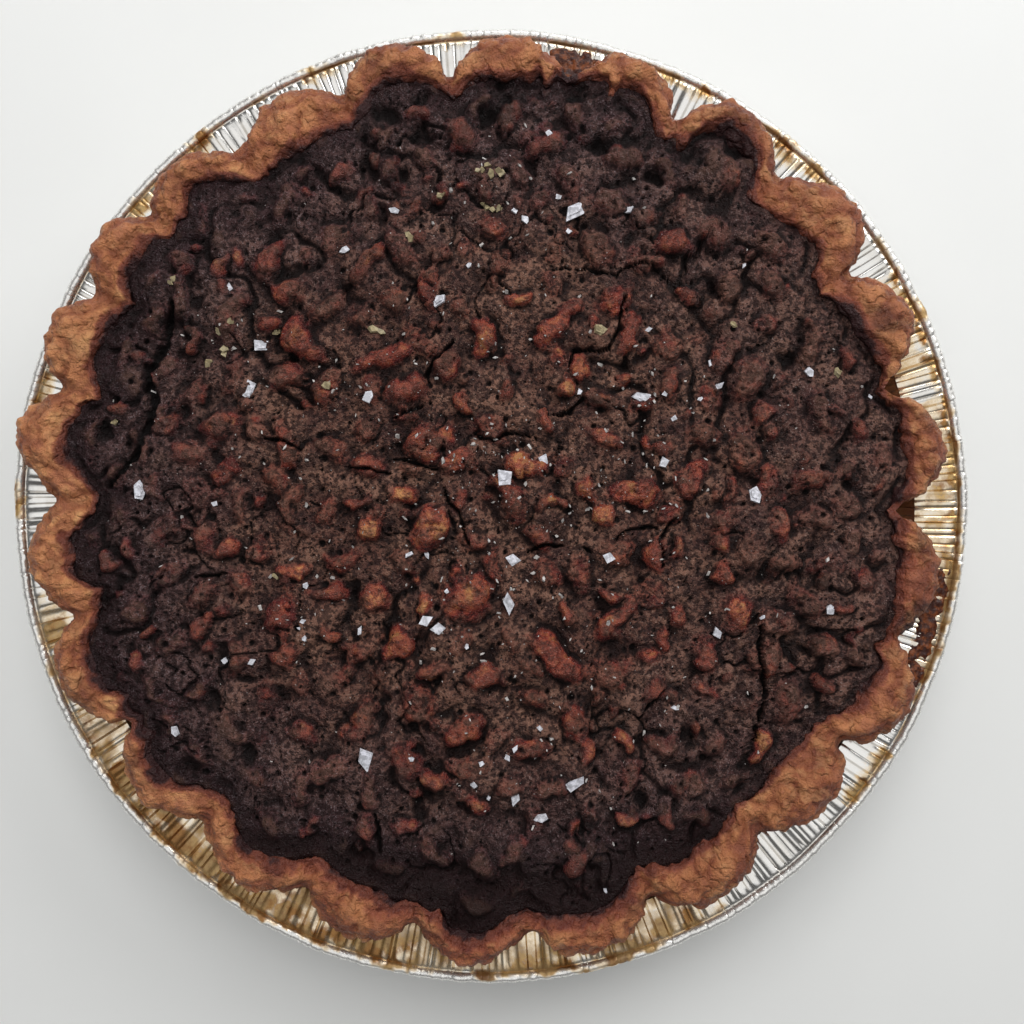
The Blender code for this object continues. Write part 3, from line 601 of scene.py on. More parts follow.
def shapeFilling():
    # places over the whole top, and by name the height and every mark at each
    cells = filling["cells"]
    flatX, flatY, reach = discPlaces(cells)
    outer, width, _, _ = crimpedEdge(np.arctan2(flatY, flatX))
    seen = outer - width
    rounded = filling["roundReach"]
    rim = rounded + (seen + filling["tuck"] - rounded) * smoothStep(reach, 0.45, 1.0)
    x, y = flatX * rim, flatY * rim
    away = (seen - np.hypot(x, y)).clip(-filling["tuck"], None)
    places = np.column_stack([x, y, np.zeros(len(x))])
    fade = smoothStep(away, 0.0, 4.0)
    # foam with soft creases in it, sinking beside the pastry and diving under it
    foam = sum(high * ripple(places, size, seed) for seed, (high, size) in enumerate(filling["foam"], 1))
    crease = fallOff(np.abs(ripple(places, 15.0, 5) + 0.3 * ripple(places, 5.0, 6)), 0.0, 0.2)
    crease *= smoothStep(ripple(places, 30.0, 7) + 0.008 * (110.0 - away), 0.2, 0.9)
    edgeDip = 1.6 * smoothStep(ripple(places, 11.0, 8), -0.1, 0.6) * hump(away - 1.2, 1.4)
    edgeDip += 1.4 * smoothStep(-away, -0.6, 1.6) - 0.5 * smoothStep(ripple(places, 4.0, 9), 0.0, 0.5) * (away < 2.0)
    core = coreHeight(x, y, away)
    look = {name: np.zeros(len(x)) for name in ("bare", "tone", "thin")}
    look.update(core=core, away=away, top=core + fade * foam - 1.5 * crease * fade - edgeDip,
                warpA=0.9 * ripple(places, 4.6, 41) + 0.4 * ripple(places, 2.1, 42),
                warpB=0.9 * ripple(places, 4.6, 43) + 0.4 * ripple(places, 2.1, 44),
                # painted shade in the creases and in the dip beside the pastry
                pit=0.5 * crease * fade + 0.35 * edgeDip)
    for index, (nut, bareness, tone) in sorted(enumerate(allNuts()), key=lambda item: item[1][1]):
        layNut(places, look, nut, bareness, tone, index)
    cutCracks(places, look, fade)
    # crevices and hollows: where the top lies below its own surroundings, for painted shade in them and painted light
    # on the crowns
    square = look["top"].reshape(cells + 1, cells + 1)
    look["cave"] = np.clip((softened(square, 2) - square).ravel() / 0.7, -1.0, 1.0)
    look["sunk"] = np.clip((softened(square, 6) - square).ravel() / 1.5, -1.0, 1.0)
    # darker towards the rim, where the filling has baked darker; the extra dark at the lower side is painted shade,
    # the lighter right side painted sheen
    darker = fallOff(away + 3.0 * ripple(places, 9.0, 39), 0.0, 15.0)
    darker += 1.5 * smoothStep(-y, 68.0, 98.0) - smoothStep(x, 50.0, 90.0) + 0.3 * smoothStep(-x, 50.0, 95.0)
    look["rim"] = np.clip(darker, 0.0, 1.8)
    look["outer"] = fallOff(away + 7.0 * ripple(places, 24.0, 45) + 3.0 * ripple(places, 9.0, 46), 8.0, 52.0)
    # less of the dark outer film on the right side: painted sheen
    look["outer"] *= 1.0 - 0.6 * smoothStep(x, 30.0, 85.0)
    # a darker band against the pastry, more on the lower side: partly scorched filling, partly painted shade
    look["edge"] = fallOff(away + 1.4 * ripple(places, 5.0, 40) + 0.6 * ripple(places, 2.0, 47), 0.0, 4.0)
    look["edge"] *= 0.35 + 0.65 * smoothStep(ripple(places, 14.0, 48) + 0.25 * (y < 0.0), -0.35, 0.35)
    return np.column_stack([x, y, look["top"]]), look


def slab(name, points, topFaces, loops, finish, marks, normals):
    # closes a skin downwards: each of loops is its top loop, the rings below it, and whether it faces inwards
    points, faces = [points], topFaces.tolist()
    count = top = len(points[0])
    for loop, rings, flip in loops:
        before = list(loop)
        for ringPoints in (*rings, np.array([[0.0, 0.0, rings[-1][0][2]]])):
            points.append(ringPoints)
            now = list(range(count, count + len(ringPoints)))
            count += len(ringPoints)
            for index in range(len(before)):
                after = (index + 1) % len(before)
                if len(now) > 1:
                    face = [before[index], now[index], now[after], before[after]]
                else:
                    face = [before[index], now[0], before[after]]
                faces.append(face[::-1] if flip else face)
            before = now
    marks = {key: np.append(values, np.zeros(count - top)) for key, values in marks.items()}
    down = np.tile((0.0, 0.0, -1.0), (count - top, 1))
    return makePiece(name, np.vstack(points), faces, finish, marks, normals=np.vstack([normals, down]))


def makeFilling(finish):
    cells = filling["cells"]
    side = cells + 1
    points, look = shapeFilling()
    grid = points.reshape(side, side, 3)
    normals = np.cross(np.gradient(grid, axis=1), np.gradient(grid, axis=0)).reshape(-1, 3)
    normals /= np.linalg.norm(normals, axis=1)[:, None]
    quads = gridFaces(side, side, wrap=False)
    low = round(0.5 * cells * (1.0 - filling["middleShare"]))
    high = cells - low
    row, column = quads[:, 0] // side, quads[:, 0] % side
    inMiddle = (row >= low) & (row < high) & (column >= low) & (column < high)
    inner = squareLoop(cells, low, high)
    innerDown = points[inner].copy()
    innerDown[:, 2] = filling["middleFloor"]
    rimLoop = squareLoop(cells, 0, cells)
    angle = np.arctan2(points[rimLoop, 1], points[rimLoop, 0])
    outer, width, _, _ = crimpedEdge(angle)
    clear, knee = filling["clearance"], pastry["kneeHeight"]
    rings = [ringOf(angle, radius, height) for radius, height in (
        (tuckedUnder(outer, outer - width) - clear, pastry["tuckHeight"]),
        (wallRadius(knee) - (pastry["liningDepth"] + clear), knee),
        (pastry["floorRadius"] - clear, filling["baseHeight"]))]
    # two pieces that meet in one upright wall, the middle's a touch shorter
    for name, chosen, loops in (
            ("fillingMiddle", quads[inMiddle], [(inner, [innerDown + (0, 0, 0.05)], False)]),
            ("fillingEdge", quads[~inMiddle], [(rimLoop, rings, False), (inner, [innerDown], True)])):
        used, compact = np.unique(chosen, return_inverse=True)
        number = np.full(len(points), -1)
        number[used] = np.arange(len(used))
        loops = [(number[loop], below, flip) for loop, below, flip in loops]
        piece = slab(name, points[used], compact.reshape(chosen.shape), loops, finish,
                     {mark: look[mark][used] for mark in fillingMarks}, normals[used])
        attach(piece, "root")
        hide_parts("walnut_filling")
    return BVHTree.FromPolygons((points * mm).tolist(), quads.tolist())


def fillingFinish():
    finish, shade = Finish("bakedFilling", *fillingMarks), filling["colours"]
    bare, tone, thin, pit, cave, sunk, rim, edge, outer = finish.marks
    fine = finish.grain(0.40, 2.0, 0.65)
    middle = finish.grain(1.3, 3.0, 0.6, shift=3.1)
    broad = finish.grain(12.0, 3.0, 0.55, shift=1.7)
    bubbles = finish.pits(1.2, shift=0.4)
    dark = finish.grain(3.2, 2.0, 0.5, shift=7.7)
    blotch = finish.grain(7.5, 3.0, 0.6, shift=9.3)
    cover = finish.grain(1.0, 3.0, 0.65, shift=5.3)
    film = finish.mix(outer, shade["film"], shade["filmOuter"])
    # near the outside the pale specks are partly painted glints
    speck = finish.mix(outer, shade["speck"], shade["speckAndGlintOuter"])
    # brown crumb with painted shade in its bubbles, pale specks where it is frothy, and darker towards the rim,
    # partly baked colour and partly painted shade and sheen
    frothy = middle.between(0.36, 0.60) * (dark.between(0.60, 0.40) * 0.6 + 0.4)
    foam = finish.coats(
        shade["foamDeep"], (broad.between(0.38, 0.62), shade["foamPale"]), (outer * 0.75, shade["foamOuter"]),
        (rim * 0.85, shade["foamRim"]), (thin.clip() * 0.9, film), (edge * 0.75, shade["scorchedAndShaded"]),
        (blotch.between(0.52, 0.38) * 0.65, shade["blotch"]),
        (middle.between(0.58, 0.42) * 0.85, shade["crumbShade"]),
        (fine.between(0.52, 0.68) * frothy * (0.75 - rim * 0.25), speck),
        (bubbles.between(0.26, 0.12) * 0.85, shade["poreShade"]))
    # the nuts' own skin shows where the foam has run off it
    skin = finish.coats(
        finish.ramp(tone + (middle - 0.5) * 1.1 + (dark - 0.5) * 1.5, *filling["nutSkin"]),
        (fine.between(0.62, 0.72) * 0.6, shade["skinGlint"]), (middle.between(0.50, 0.34) * 0.7, shade["skinDark"]),
        (outer * 0.45, shade["skinOuter"]), (dark.between(0.50, 0.68) * 0.4, shade["skinStain"]))
    shown = (bare * 1.85 - cover.between(0.35, 0.75) * 0.5).clip()
    # painted light on the crowns; painted shade in the hollows, crevices, cracks and pores, and at the lower side of
    # the rim
    colour = finish.coats(
        foam, (shown, skin), (sunk.between(-0.25, -1.0) * 0.22, shade["crest"]),
        (sunk.between(0.1, 1.0) * 0.75, shade["dip"]), (cave.between(0.1, 0.9) * 0.85, shade["creviceShade"]),
        (pit, shade["hole"]), ((rim - 1.0) * 0.9, shade["lowerSideShade"]))
    wet = shown * 0.7 + edge * 0.5 + rim * 0.2 + thin * 0.2
    rough = 0.46 - wet * 0.28 + (fine - 0.5) * 0.6
    bumps = fine * 0.9 + middle * 0.9 + bubbles.between(0.0, 0.35) * 0.5
    normal = finish.relief(bumps, 0.8, 1.0)
    return finish.done(Base_Color=colour, Roughness=rough, Normal=normal, Specular_IOR_Level=0.3)


# The pastry

pastry = {
    "columns": 1400, "rows": 64, "seed": 17, "creases": 60, "midRadius": 115.0,
    "crestHeight": 47.6, "tipLift": 1.3, "bellyHeight": 42.2, "footHeight": 38.7, "neckHeight": 37.9,
    "neckRadius": 108.0, "tuckRadius": 103.0, "tuckHeight": 38.3,
    # the hidden lining of the tin
    "kneeHeight": 31.5, "kneeGap": 0.4, "liningDepth": 4.5, "floorRadius": 78.2, "floorHeight": 4.5,
    "underRadius": 77.0, "underHeight": 0.9, "footRadius": 81.9, "footRise": 1.8,
    # how high and how wide the relief is
    "swell": (0.7, 9.0), "knobs": (1.9, 5.6), "grit": (0.95, 2.4), "crumbs": (0.28, 1.3), "blisters": (0.30, 4.5),
    "foldDepth": 1.3,
    # the crust from pale to well baked
    "crust": ((0.0, (0.62, 0.310, 0.128)), (0.28, (0.52, 0.212, 0.090)), (0.52, (0.405, 0.154, 0.064)),
              (0.78, (0.305, 0.098, 0.042)), (1.0, (0.195, 0.057, 0.031))),
    "colours": {
        "golden": (0.56, 0.28, 0.125), "ruddy": (0.38, 0.132, 0.074), "lip": (0.50, 0.23, 0.09),
        # the colours for hollows and creases are painted shade
        "dip": (0.170, 0.050, 0.028), "crease": (0.200, 0.060, 0.032), "glint": (0.54, 0.30, 0.16),
        "syrup": (0.285, 0.078, 0.043), "thickSyrup": (0.110, 0.026, 0.020), "burnt": (0.026, 0.011, 0.011),
        "soaked": (0.150, 0.042, 0.026), "boiled": (0.034, 0.013, 0.013),
    },
}

# How ruddy the crust has baked, from 0 to 1, by direction
browning = (
    (0, .66), (25, .66), (40, .62), (57, .58), (87, .61), (103, .57), (117, .55), (133, .30), (158, .22), (187, .18),
    (202, .34), (219, .20), (235, .34), (252, .60), (267, .72), (283, .70), (301, .72), (318, .76), (334, .62),
    (350, .80), (360, .66),
)
# How far syrup has soaked outwards into the pastry, by direction
pastrySoaks = (
    (0, 3.5), (16, 3), (27, 4), (45, 3.6), (57, 5), (66, 5), (80, 4), (104, 3.5), (117, 2.8), (127, 2.4), (134, 2.4),
    (150, 3.4), (172, 3.8), (187, 3.2), (203, 4.6), (216, 4.6), (236, 5.2), (254, 7.5), (267, 7), (284, 6),
    (301, 3.5), (318, 2.4), (334, 4), (351, 6.5), (360, 3.5),
)
# Where filling has run up over the pastry: from and to direction, how far out it reaches
pastryBoils = (
    (54, 60, 2.0), (78, 81, 9.0), (199, 207, 1.5), (217, 221, 3.0), (232, 236, 1.8), (262, 271, 1.5),
)
# Burnt places on the pastry: direction, radius, size, strength
pastryBurns = (
    (344, 108.5, 5.0, 1.0), (347, 110.5, 3.0, .8), (25, 108, 5.0, .55), (355, 108.5, 4.0, .6), (79, 114, 4.5, .8),
    (57, 112, 6.0, .6), (104, 113, 4.0, .3), (134, 113, 4.0, .2), (205, 113, 5.0, .35), (262, 108, 5.0, .4),
    (215, 110, 4.0, .4), (290, 106, 4.0, .3), (11, 112, 4.0, .35), (240, 107, 4.0, .3), (160, 111, 4.0, .25),
)

pastryMarks = "wet", "burnt", "toast", "fold", "dip", "soak"


def smoothRows(knots, rows):
    # rows of points spaced evenly along a Catmull-Rom curve through the knots (knots, columns, 3)
    count = len(knots)
    spans = np.linalg.norm(np.diff(knots, axis=0), axis=2).mean(axis=1)
    marks = np.insert(np.cumsum(spans), 0, 0.0)
    padded = np.concatenate([2 * knots[:1] - knots[1:2], knots, 2 * knots[-1:] - knots[-2:-1]])
    made = []
    for place in np.linspace(0.0, marks[-1], rows):
        index = min(int(np.searchsorted(marks, place, side="right")) - 1, count - 2)
        t = (place - marks[index]) / spans[index]
        a, b, c, d = padded[index:index + 4]
        made.append(0.5 * (2 * b + (c - a) * t + (2 * a - 5 * b + 4 * c - d) * t**2 + (3 * b - 3 * c + d - a) * t**3))
    return np.array(made)


def pastrySection(angle, outer, width, share):
    # rows of points over the scallops, from the neck in the tin to below the filling's edge
    around = ringOf(angle, pastry["midRadius"], 0.0)
    crest = pastry["crestHeight"] + pastry["tipLift"] * (share - 0.5)
    crest = crest + 0.7 * ripple(around, 13.0, 1)
    foot = pastry["footHeight"] + 0.8 * smoothStep((outer - 117.0) / 2.0)  # lifted where it lies on the bead
    seen = outer - width
    knots = (
        (np.minimum(outer - 1.8, pastry["neckRadius"]), pastry["neckHeight"]),
        (outer - 1.3, foot),
        (outer, pastry["bellyHeight"] + 0.5 * ripple(around, 11.0, 2)),
        (outer - 0.16 * width, crest - 1.7),
        (outer - 0.42 * width + 0.5 * ripple(around, 10.0, 3), crest),
        (outer - 0.72 * width, crest - 0.4),
        (seen, filling["edgeHeight"]),
        (tuckedUnder(outer, seen), pastry["tuckHeight"]),
    )
    return smoothRows(np.array([ringOf(angle, radius, height) for radius, height in knots]), pastry["rows"])


def pastryCreases(lift, flat, bearing, outside, inward):
    # presses short folds into lift, each with a raised lip, and gives the lips
    draw = random.Random(pastry["seed"])
    lips = np.zeros(len(flat))
    bow = 1.1 * ripple(flat, 6.0, 29)
    for _ in range(pastry["creases"]):
        heading, lean = draw.uniform(-math.pi, math.pi), draw.uniform(-1.2, 1.2)
        middle, reach = draw.uniform(-0.1, 1.0), draw.uniform(0.2, 0.6)
        depth, wide = draw.uniform(0.25, 0.7), draw.uniform(0.5, 1.2)
        off = ((bearing - heading + math.pi) % (2.0 * math.pi) - math.pi) * pastry["midRadius"]
        off += bow - lean * (outside - 6.0)
        window = hump(inward - middle, reach)
        lip = hump(off - 1.6 * wide, 1.3 * wide) * window
        lift += depth * (0.6 * lip - hump(off, wide) * window)
        lips += 0.5 * lip
    return lips


def pastryWetness(flat, turn, fromFilling):
    # how wet each place is where the filling has boiled against it, and how far syrup has soaked in beyond
    wetLine = -0.3 + 1.3 * ripple(flat, 9.0, 21) + 0.9 * ripple(flat, 2.8, 22)
    wetLine += 4.0 * np.maximum(ripple(flat, 15.0, 28) - 0.15, 0.0)
    wet = fallOff(fromFilling - wetLine, -1.4, 3.2)
    ragged, uneven = 0.8 * ripple(flat, 2.0, 35), 1.0 + 0.3 * ripple(flat, 4.0, 24)
    for start, end, more in pastryBoils:
        middle, half = 0.5 * (start + end), 0.5 * (end - start)
        window = fallOff(np.abs(degreesFrom(turn, middle)) / half, 0.5, 1.1)
        wet = np.maximum(wet, window * fallOff(fromFilling - more * uneven + ragged, -1.6, 1.6))
    reach = byDirection(turn, pastrySoaks) * (1.0 + 0.45 * ripple(flat, 5.0, 30))
    return wet, fallOff((fromFilling - wetLine + 0.8 * ripple(flat, 2.2, 34)) / reach)


def makePastry(finish):
    columns, rows = pastry["columns"], pastry["rows"]
    angle = np.linspace(0.0, 2.0 * math.pi, columns, endpoint=False)
    outer, width, share, partWay = crimpedEdge(angle)
    skin = pastrySection(angle, outer, width, share)
    # the relief pushes each point along its normal
    slope = np.cross(np.roll(skin, -1, axis=1) - np.roll(skin, 1, axis=1), np.gradient(skin, axis=0))
    slope /= np.linalg.norm(slope, axis=2)[:, :, None]
    flat = skin.reshape(-1, 3)
    # how far along the section each row lies: 0 at the neck, about 0.5 on the crest, 1 under the filling
    along = np.repeat(np.linspace(0.0, 1.0, rows), columns)
    outside = np.tile(outer, rows) - np.hypot(flat[:, 0], flat[:, 1])
    inward = outside / np.tile(width, rows)
    bearing = np.arctan2(flat[:, 1], flat[:, 0])
    (swell, swellSize), (knobLift, knobSize), (gritLift, gritSize), (crumbLift, crumbSize), (puff, spacing) = (
        pastry[name] for name in ("swell", "knobs", "grit", "crumbs", "blisters"))
    warped = flat + 0.9 * np.column_stack([ripple(flat, 3.5, seed) for seed in (31, 32, 33)])
    knobs = np.sqrt(ripple(warped, knobSize, 6)**2 + 0.02)  # rounded lumps with creases between them
    grit = np.sqrt(ripple(flat, gritSize, 7)**2 + 0.01)
    wrinkle = fallOff(knobs, 0.14, 0.3)
    lift = swell * ripple(flat, swellSize, 5) + knobLift * (knobs - 0.4) + gritLift * (grit - 0.35)
    lift += crumbLift * ripple(flat, crumbSize, 8)
    blister, own = scattered(np.column_stack([bearing * pastry["midRadius"], outside]), spacing, 3, 0.7)
    lift += puff * fallOff(blister / (0.5 + own), 0.2, 1.0)
    valleyFold = np.exp(-(np.tile(partWay, rows) * 7.5)**2) * fallOff(inward, 0.4, 1.0)
    lift -= (pastry["foldDepth"] + 0.6 * ripple(flat, 5.0, 10)) * valleyFold
    lips = pastryCreases(lift, flat, bearing, outside, inward)
    hold = smoothStep(along, 0.0, 0.12) * fallOff(along, 0.86, 1.0)  # no relief at the two hidden ends
    flat = flat + (lift * hold)[:, None] * slope.reshape(-1, 3)
    turn = np.degrees(bearing) % 360.0
    wet, soak = pastryWetness(flat, turn, np.tile(width, rows) - outside)
    burnt = np.zeros(len(flat))
    for direction, radius, size, strength in pastryBurns:
        spotX, spotY = radius * math.cos(math.radians(direction)), radius * math.sin(math.radians(direction))
        off = np.hypot(flat[:, 0] - spotX, flat[:, 1] - spotY) + 1.6 * ripple(flat, 3.0, 25)
        burnt = np.maximum(burnt, strength * fallOff(off / size, 0.35, 1.1))
    # ruddier on the outer side of each scallop, and all over where the oven was hotter
    toast = 0.22 + 0.65 * byDirection(turn, browning) + 0.28 * ripple(flat, 10.0, 26) + 0.22 * ripple(flat, 4.0, 27)
    toast += 0.28 * fallOff(inward, 0.0, 0.5) * smoothStep(flat[:, 2], 42.5, 46.0)
    # darker in the wrinkles and valley folds and paler on the crowns of the lumps: painted shade and painted
    # highlight
    toast += 0.2 * wrinkle - 0.25 * smoothStep(knobs, 0.3, 0.9) + 0.2 * valleyFold
    # painted shade in the wrinkles, the low grit and the valley folds
    dip = wrinkle * 0.8 + fallOff(grit, 0.1, 0.2) * 0.5 + 0.5 * valleyFold
    values = wet, burnt, toast, np.clip(lips, 0.0, 1.0), np.clip(dip, 0.0, 1.0), soak
    # the hidden lining of the tin closes the body
    knee, kneeRadius = pastry["kneeHeight"], wallRadius(pastry["kneeHeight"])
    under, floor = pastry["underHeight"], pastry["floorHeight"]
    below = [ringOf(angle, *ring) for ring in (
        (pastry["underRadius"], under), (pastry["footRadius"], pastry["footRise"]),
        (kneeRadius - pastry["kneeGap"], knee))]
    above = [ringOf(angle, *ring) for ring in (
        (kneeRadius - pastry["liningDepth"], knee), (pastry["floorRadius"], floor))]
    points = np.vstack([*below, flat, *above, [[0.0, 0.0, under], [0.0, 0.0, floor]]])
    ends = len(below) * columns, len(above) * columns + 2
    marks = {name: np.pad(value, ends) for name, value in zip(pastryMarks, values)}
    piece = makePiece("pastryCrust", points, closedFaces(len(below) + rows + len(above), columns), finish, marks)
    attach(piece, "root")
    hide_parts("pastry_crust")


def pastryFinish():
    finish, shade = Finish("bakedPastry", *pastryMarks), pastry["colours"]
    wet, burnt, toast, fold, dip, soak = finish.marks
    fine = finish.grain(0.6, 3.0, 0.6)
    middle = finish.grain(2.0, 3.0, 0.6, shift=2.2)
    broad = finish.grain(5.0, 3.0, 0.55, shift=6.1)
    winding = finish.grain(3.4, 1.5, 0.5, shift=4.4)
    # fine winding creases with painted shade in them, syrup soaked in from the filling, and dark foam boiled over the
    # edge
    creased = winding.between(0.36, 0.5) * winding.between(0.64, 0.5) * broad.between(0.36, 0.54)
    creased = creased * creased
    syrup = (soak * 1.25 - middle.between(0.35, 0.70) * 0.5).clip()
    soaked = (wet * 1.1 + (middle - 0.5) * 0.9 * wet.between(0.0, 0.4)).clip()
    colour = finish.coats(
        finish.ramp(toast + (middle - 0.5) * 0.6 + (fine - 0.5) * 0.3, *pastry["crust"]),
        (broad.between(0.52, 0.66) * 0.5, shade["golden"]), (broad.between(0.48, 0.34) * 0.5, shade["ruddy"]),
        (fold * 0.35, shade["lip"]), (dip * 0.45, shade["dip"]), (creased * 0.18, shade["crease"]),
        (fine.between(0.60, 0.74) * 0.35, shade["glint"]), (syrup.between(0.0, 0.5) * 0.7, shade["syrup"]),
        (syrup.between(0.35, 1.0) * 0.9, shade["thickSyrup"]),
        (burnt * (middle.between(0.3, 0.6) * 0.5 + 0.5), shade["burnt"]),
        (soaked.between(0.0, 0.55), shade["soaked"]), (soaked.between(0.55, 1.0), shade["boiled"]))
    rough = 0.48 - syrup * 0.26 - toast.between(0.55, 0.95) * 0.06 + (fine - 0.5) * 0.45
    normal = finish.relief(fine * 0.8 + middle - creased * 0.45, 0.9, 1.0)
    return finish.done(Base_Color=colour, Roughness=rough, Normal=normal, Specular_IOR_Level=0.34)


# The foil tin

tin = {
    "bottomRadius": 82.5, "wallTopRadius": 108.6, "wallInset": 0.2, "wallFoot": 1.4, "wallRise": 35.4,
    "flangeInnerRadius": 109.8, "flangeStart": (110.0, 37.75), "flangeSlope": 0.02, "midRadius": 115.0,
    "flangeHeight": 38.0, "rimRadius": 122.2, "beadRadius": 1.05, "beadFootRadius": 120.05, "sheet": 0.25,
    "pleats": 400, "pleatHeight": 0.55, "wallPleatHeight": 0.75, "flatRise": 0.86, "seed": 41,
    "floorTop": 0.55,
    "colours": {
        "bright": (0.97, 0.95, 0.915), "dull": (0.90, 0.87, 0.82), "bead": (0.98, 0.965, 0.93),
        "beadFleck": (0.45, 0.44, 0.42), "groove": (0.30, 0.29, 0.28), "amber": (0.66, 0.44, 0.19),
        "deepAmber": (0.36, 0.18, 0.06), "brown": (0.25, 0.105, 0.035), "thinFilm": (0.95, 0.67, 0.29),
        "charred": (0.075, 0.024, 0.010),
    },
}

# Caramel stains on the flange: from and to direction, from and to radius, how strong, how burnt
stains = (
    (-3, 14, 117.8, 120.4, 1.1, .15), (-3, 14, 108, 118, .68, .0), (14, 31, 117.8, 120.4, 1.1, .2),
    (14, 31, 108, 118, .6, .0), (22, 27, 120, 122.3, .9, .2), (31, 37, 119, 120.4, .5, .2),
    (44, 53, 117.5, 120.8, 1.0, .25), (48, 51, 115, 122.3, .9, .1), (61, 69, 118.2, 120.4, .9, .15),
    (76, 83, 108, 120.5, .4, .1), (93, 98, 118.6, 121.0, .9, .25), (109, 110.8, 117.5, 122, 1.1, .3),
    (111.5, 113.5, 116.5, 122, 1.1, .3), (127, 129.5, 116, 122, 1.0, .25), (136, 142, 116.5, 120.6, .9, .15),
    (162, 168, 117, 120.6, .9, .15), (177.5, 182, 119.8, 122.3, .9, .15), (191, 199, 110, 120.5, .6, .05),
    (194.5, 198, 112, 119, 1.0, .3), (205, 216, 108, 120.5, .7, .1), (209.5, 213.5, 114, 120.6, 1.1, .35),
    (214, 236, 113.5, 120.6, 1.3, .4), (214, 236, 108, 114, .6, .1), (234, 260, 113.5, 120.6, 1.3, .4),
    (240, 258, 110.5, 116, .7, .1), (254, 258, 110.5, 116, 1.0, .2), (266, 270.5, 118.5, 121.5, 1.1, .6),
    (271, 281, 114.5, 120.6, 1.0, .2), (281.5, 287, 118.5, 122.3, 1.2, .5), (289, 297, 114.5, 120.6, 1.0, .2),
    (296, 301, 118.5, 120.6, .9, .15), (320, 328, 117, 120.6, 1.0, .15), (337, 352, 112.5, 119.5, .5, .2),
    (335, 352, 118.5, 120.6, 1.1, .5), (351, 358, 108, 118, .6, .1), (351, 358, 117, 120.6, 1.1, .25),
    (198, 302, 108, 120.6, .7, .3),
)
# How dark the line of juice along the foot of the bead is, by direction
footLine = (
    (0, 1), (122, 1), (130, .6), (170, .5), (178, .15), (190, .2), (196, .7), (262, .6), (268, .1), (278, .1),
    (284, .5), (302, .4), (306, .05), (328, .1), (334, .9), (360, 1),
)

foilMarks = "stain", "burnt", "bead", "groove"


def pleatedRing():
    # directions round the tin that follow its folds, and how high the foil lies at each: flats between grooves
    draw = random.Random(tin["seed"])
    widths = np.array([draw.uniform(0.65, 1.5) for _ in range(tin["pleats"])])
    starts = np.insert(np.cumsum(widths / widths.sum() * 2.0 * math.pi), 0, 0.0)
    directions, height = [], []
    for index in range(tin["pleats"]):
        span = starts[index + 1] - starts[index]
        groove = min(0.6 * span, draw.uniform(0.45, 1.0) * 2.0 * math.pi / (2.0 * tin["pleats"]))
        lean, deep = draw.uniform(-0.12, 0.12), draw.uniform(0.2, 0.8)
        for stop, rise in ((0.0, 0.8 - lean), (0.5 * (span - groove), tin["flatRise"]), (span - groove, 0.8 + lean),
                           (span - 0.5 * groove, 0.8 - deep)):
            directions.append(starts[index] + stop)
            height.append(rise)
    return np.array(directions), np.array(height)


def tinSection():
    # the sheet's inside from the middle of the floor up over the flange, the bead, and the outside back down:
    # rows of radius, height, how far the pleats push it
    def flange(radius, below=0.0):
        startRadius, startHeight = tin["flangeStart"]
        return startHeight + tin["flangeSlope"] * (radius - startRadius) - below
    pleat, wallPleat, bead = tin["pleatHeight"], tin["wallPleatHeight"], tin["beadRadius"]
    inside = [(79.0, tin["floorTop"], 0.0), (82.0, 1.2, 0.0)]
    inside += [(wallRadius(height), height, 0.9 * wallPleat * share)
               for height, share in ((8.0, 0.4), (20.0, 0.7), (31.0, 0.9))]
    inside += [(108.4, 36.6, 0.45), (109.2, 37.5, 0.5)]
    inside += [(radius, flange(radius), pleat * share)
               for radius, share in ((110.2, .9), (111.8, 1.0), (113.6, 1.0), (115.4, 1.0), (117.2, 1.0),
                                     (118.6, .9), (119.5, .7), (119.95, .4))]
    rolled = [(tin["rimRadius"] - bead + bead * math.cos(lean), tin["flangeHeight"] + bead * math.sin(lean), 0.22)
              for lean in np.radians((165, 130, 95, 60, 25, -10, -50, -90, -135))]
    outside = [(radius, flange(radius, tin["sheet"]), pleat * share)
               for radius, share in ((119.6, .45), (117.0, .9), (113.5, 1.0), (110.3, .9))]
    outside += [(109.6, 37.0, 0.5)]
    outside += [(wallRadius(height) + 0.3, height, wallPleat * share)
                for height, share in ((34.5, 1.0), (31.0, 1.0), (26.0, 1.0), (21.0, .9), (16.0, .8), (11.0, .65),
                                      (7.0, .5), (4.0, .3))]
    outside += [(82.6, 1.5, 0.0), (81.6, 0.4, 0.0), (80.0, 0.0, 0.0), (60.0, 0.0, 0.0)]
    return np.array(inside + rolled + outside), len(inside), len(inside) + len(rolled)


def stainAt(points, radius, turn):
    wander = 1.4 * ripple(points, 5.0, 51) + 0.7 * ripple(points, 1.8, 52)
    uneven = 0.75 + 0.5 * ripple(points, 3.0, 53)
    strength, burnt = np.zeros(len(points)), np.zeros(len(points))
    for start, end, inner, outer, much, dark in stains:
        middle, half = 0.5 * (start + end), 0.5 * (end - start)
        off = (np.abs(degreesFrom(turn, middle)) - half) * 2.0 + 2.5 * wander
        band = smoothStep(radius - inner + wander, -1.0, 1.0) * fallOff(radius - outer + wander, -0.8, 0.8)
        here = fallOff(off, -3.0, 2.0) * band * uneven
        strength = np.maximum(strength, much * here)
        burnt = np.maximum(burnt, dark * here)
    # juice has gathered along the foot of the bead
    line = hump(radius - tin["beadFootRadius"], 0.35) * smoothStep(ripple(points, 6.0, 54), -0.5, 0.4)
    line *= byDirection(turn, footLine)
    return np.clip(np.maximum(strength, line), 0, 1), np.clip(np.maximum(burnt, 0.6 * line), 0, 1)


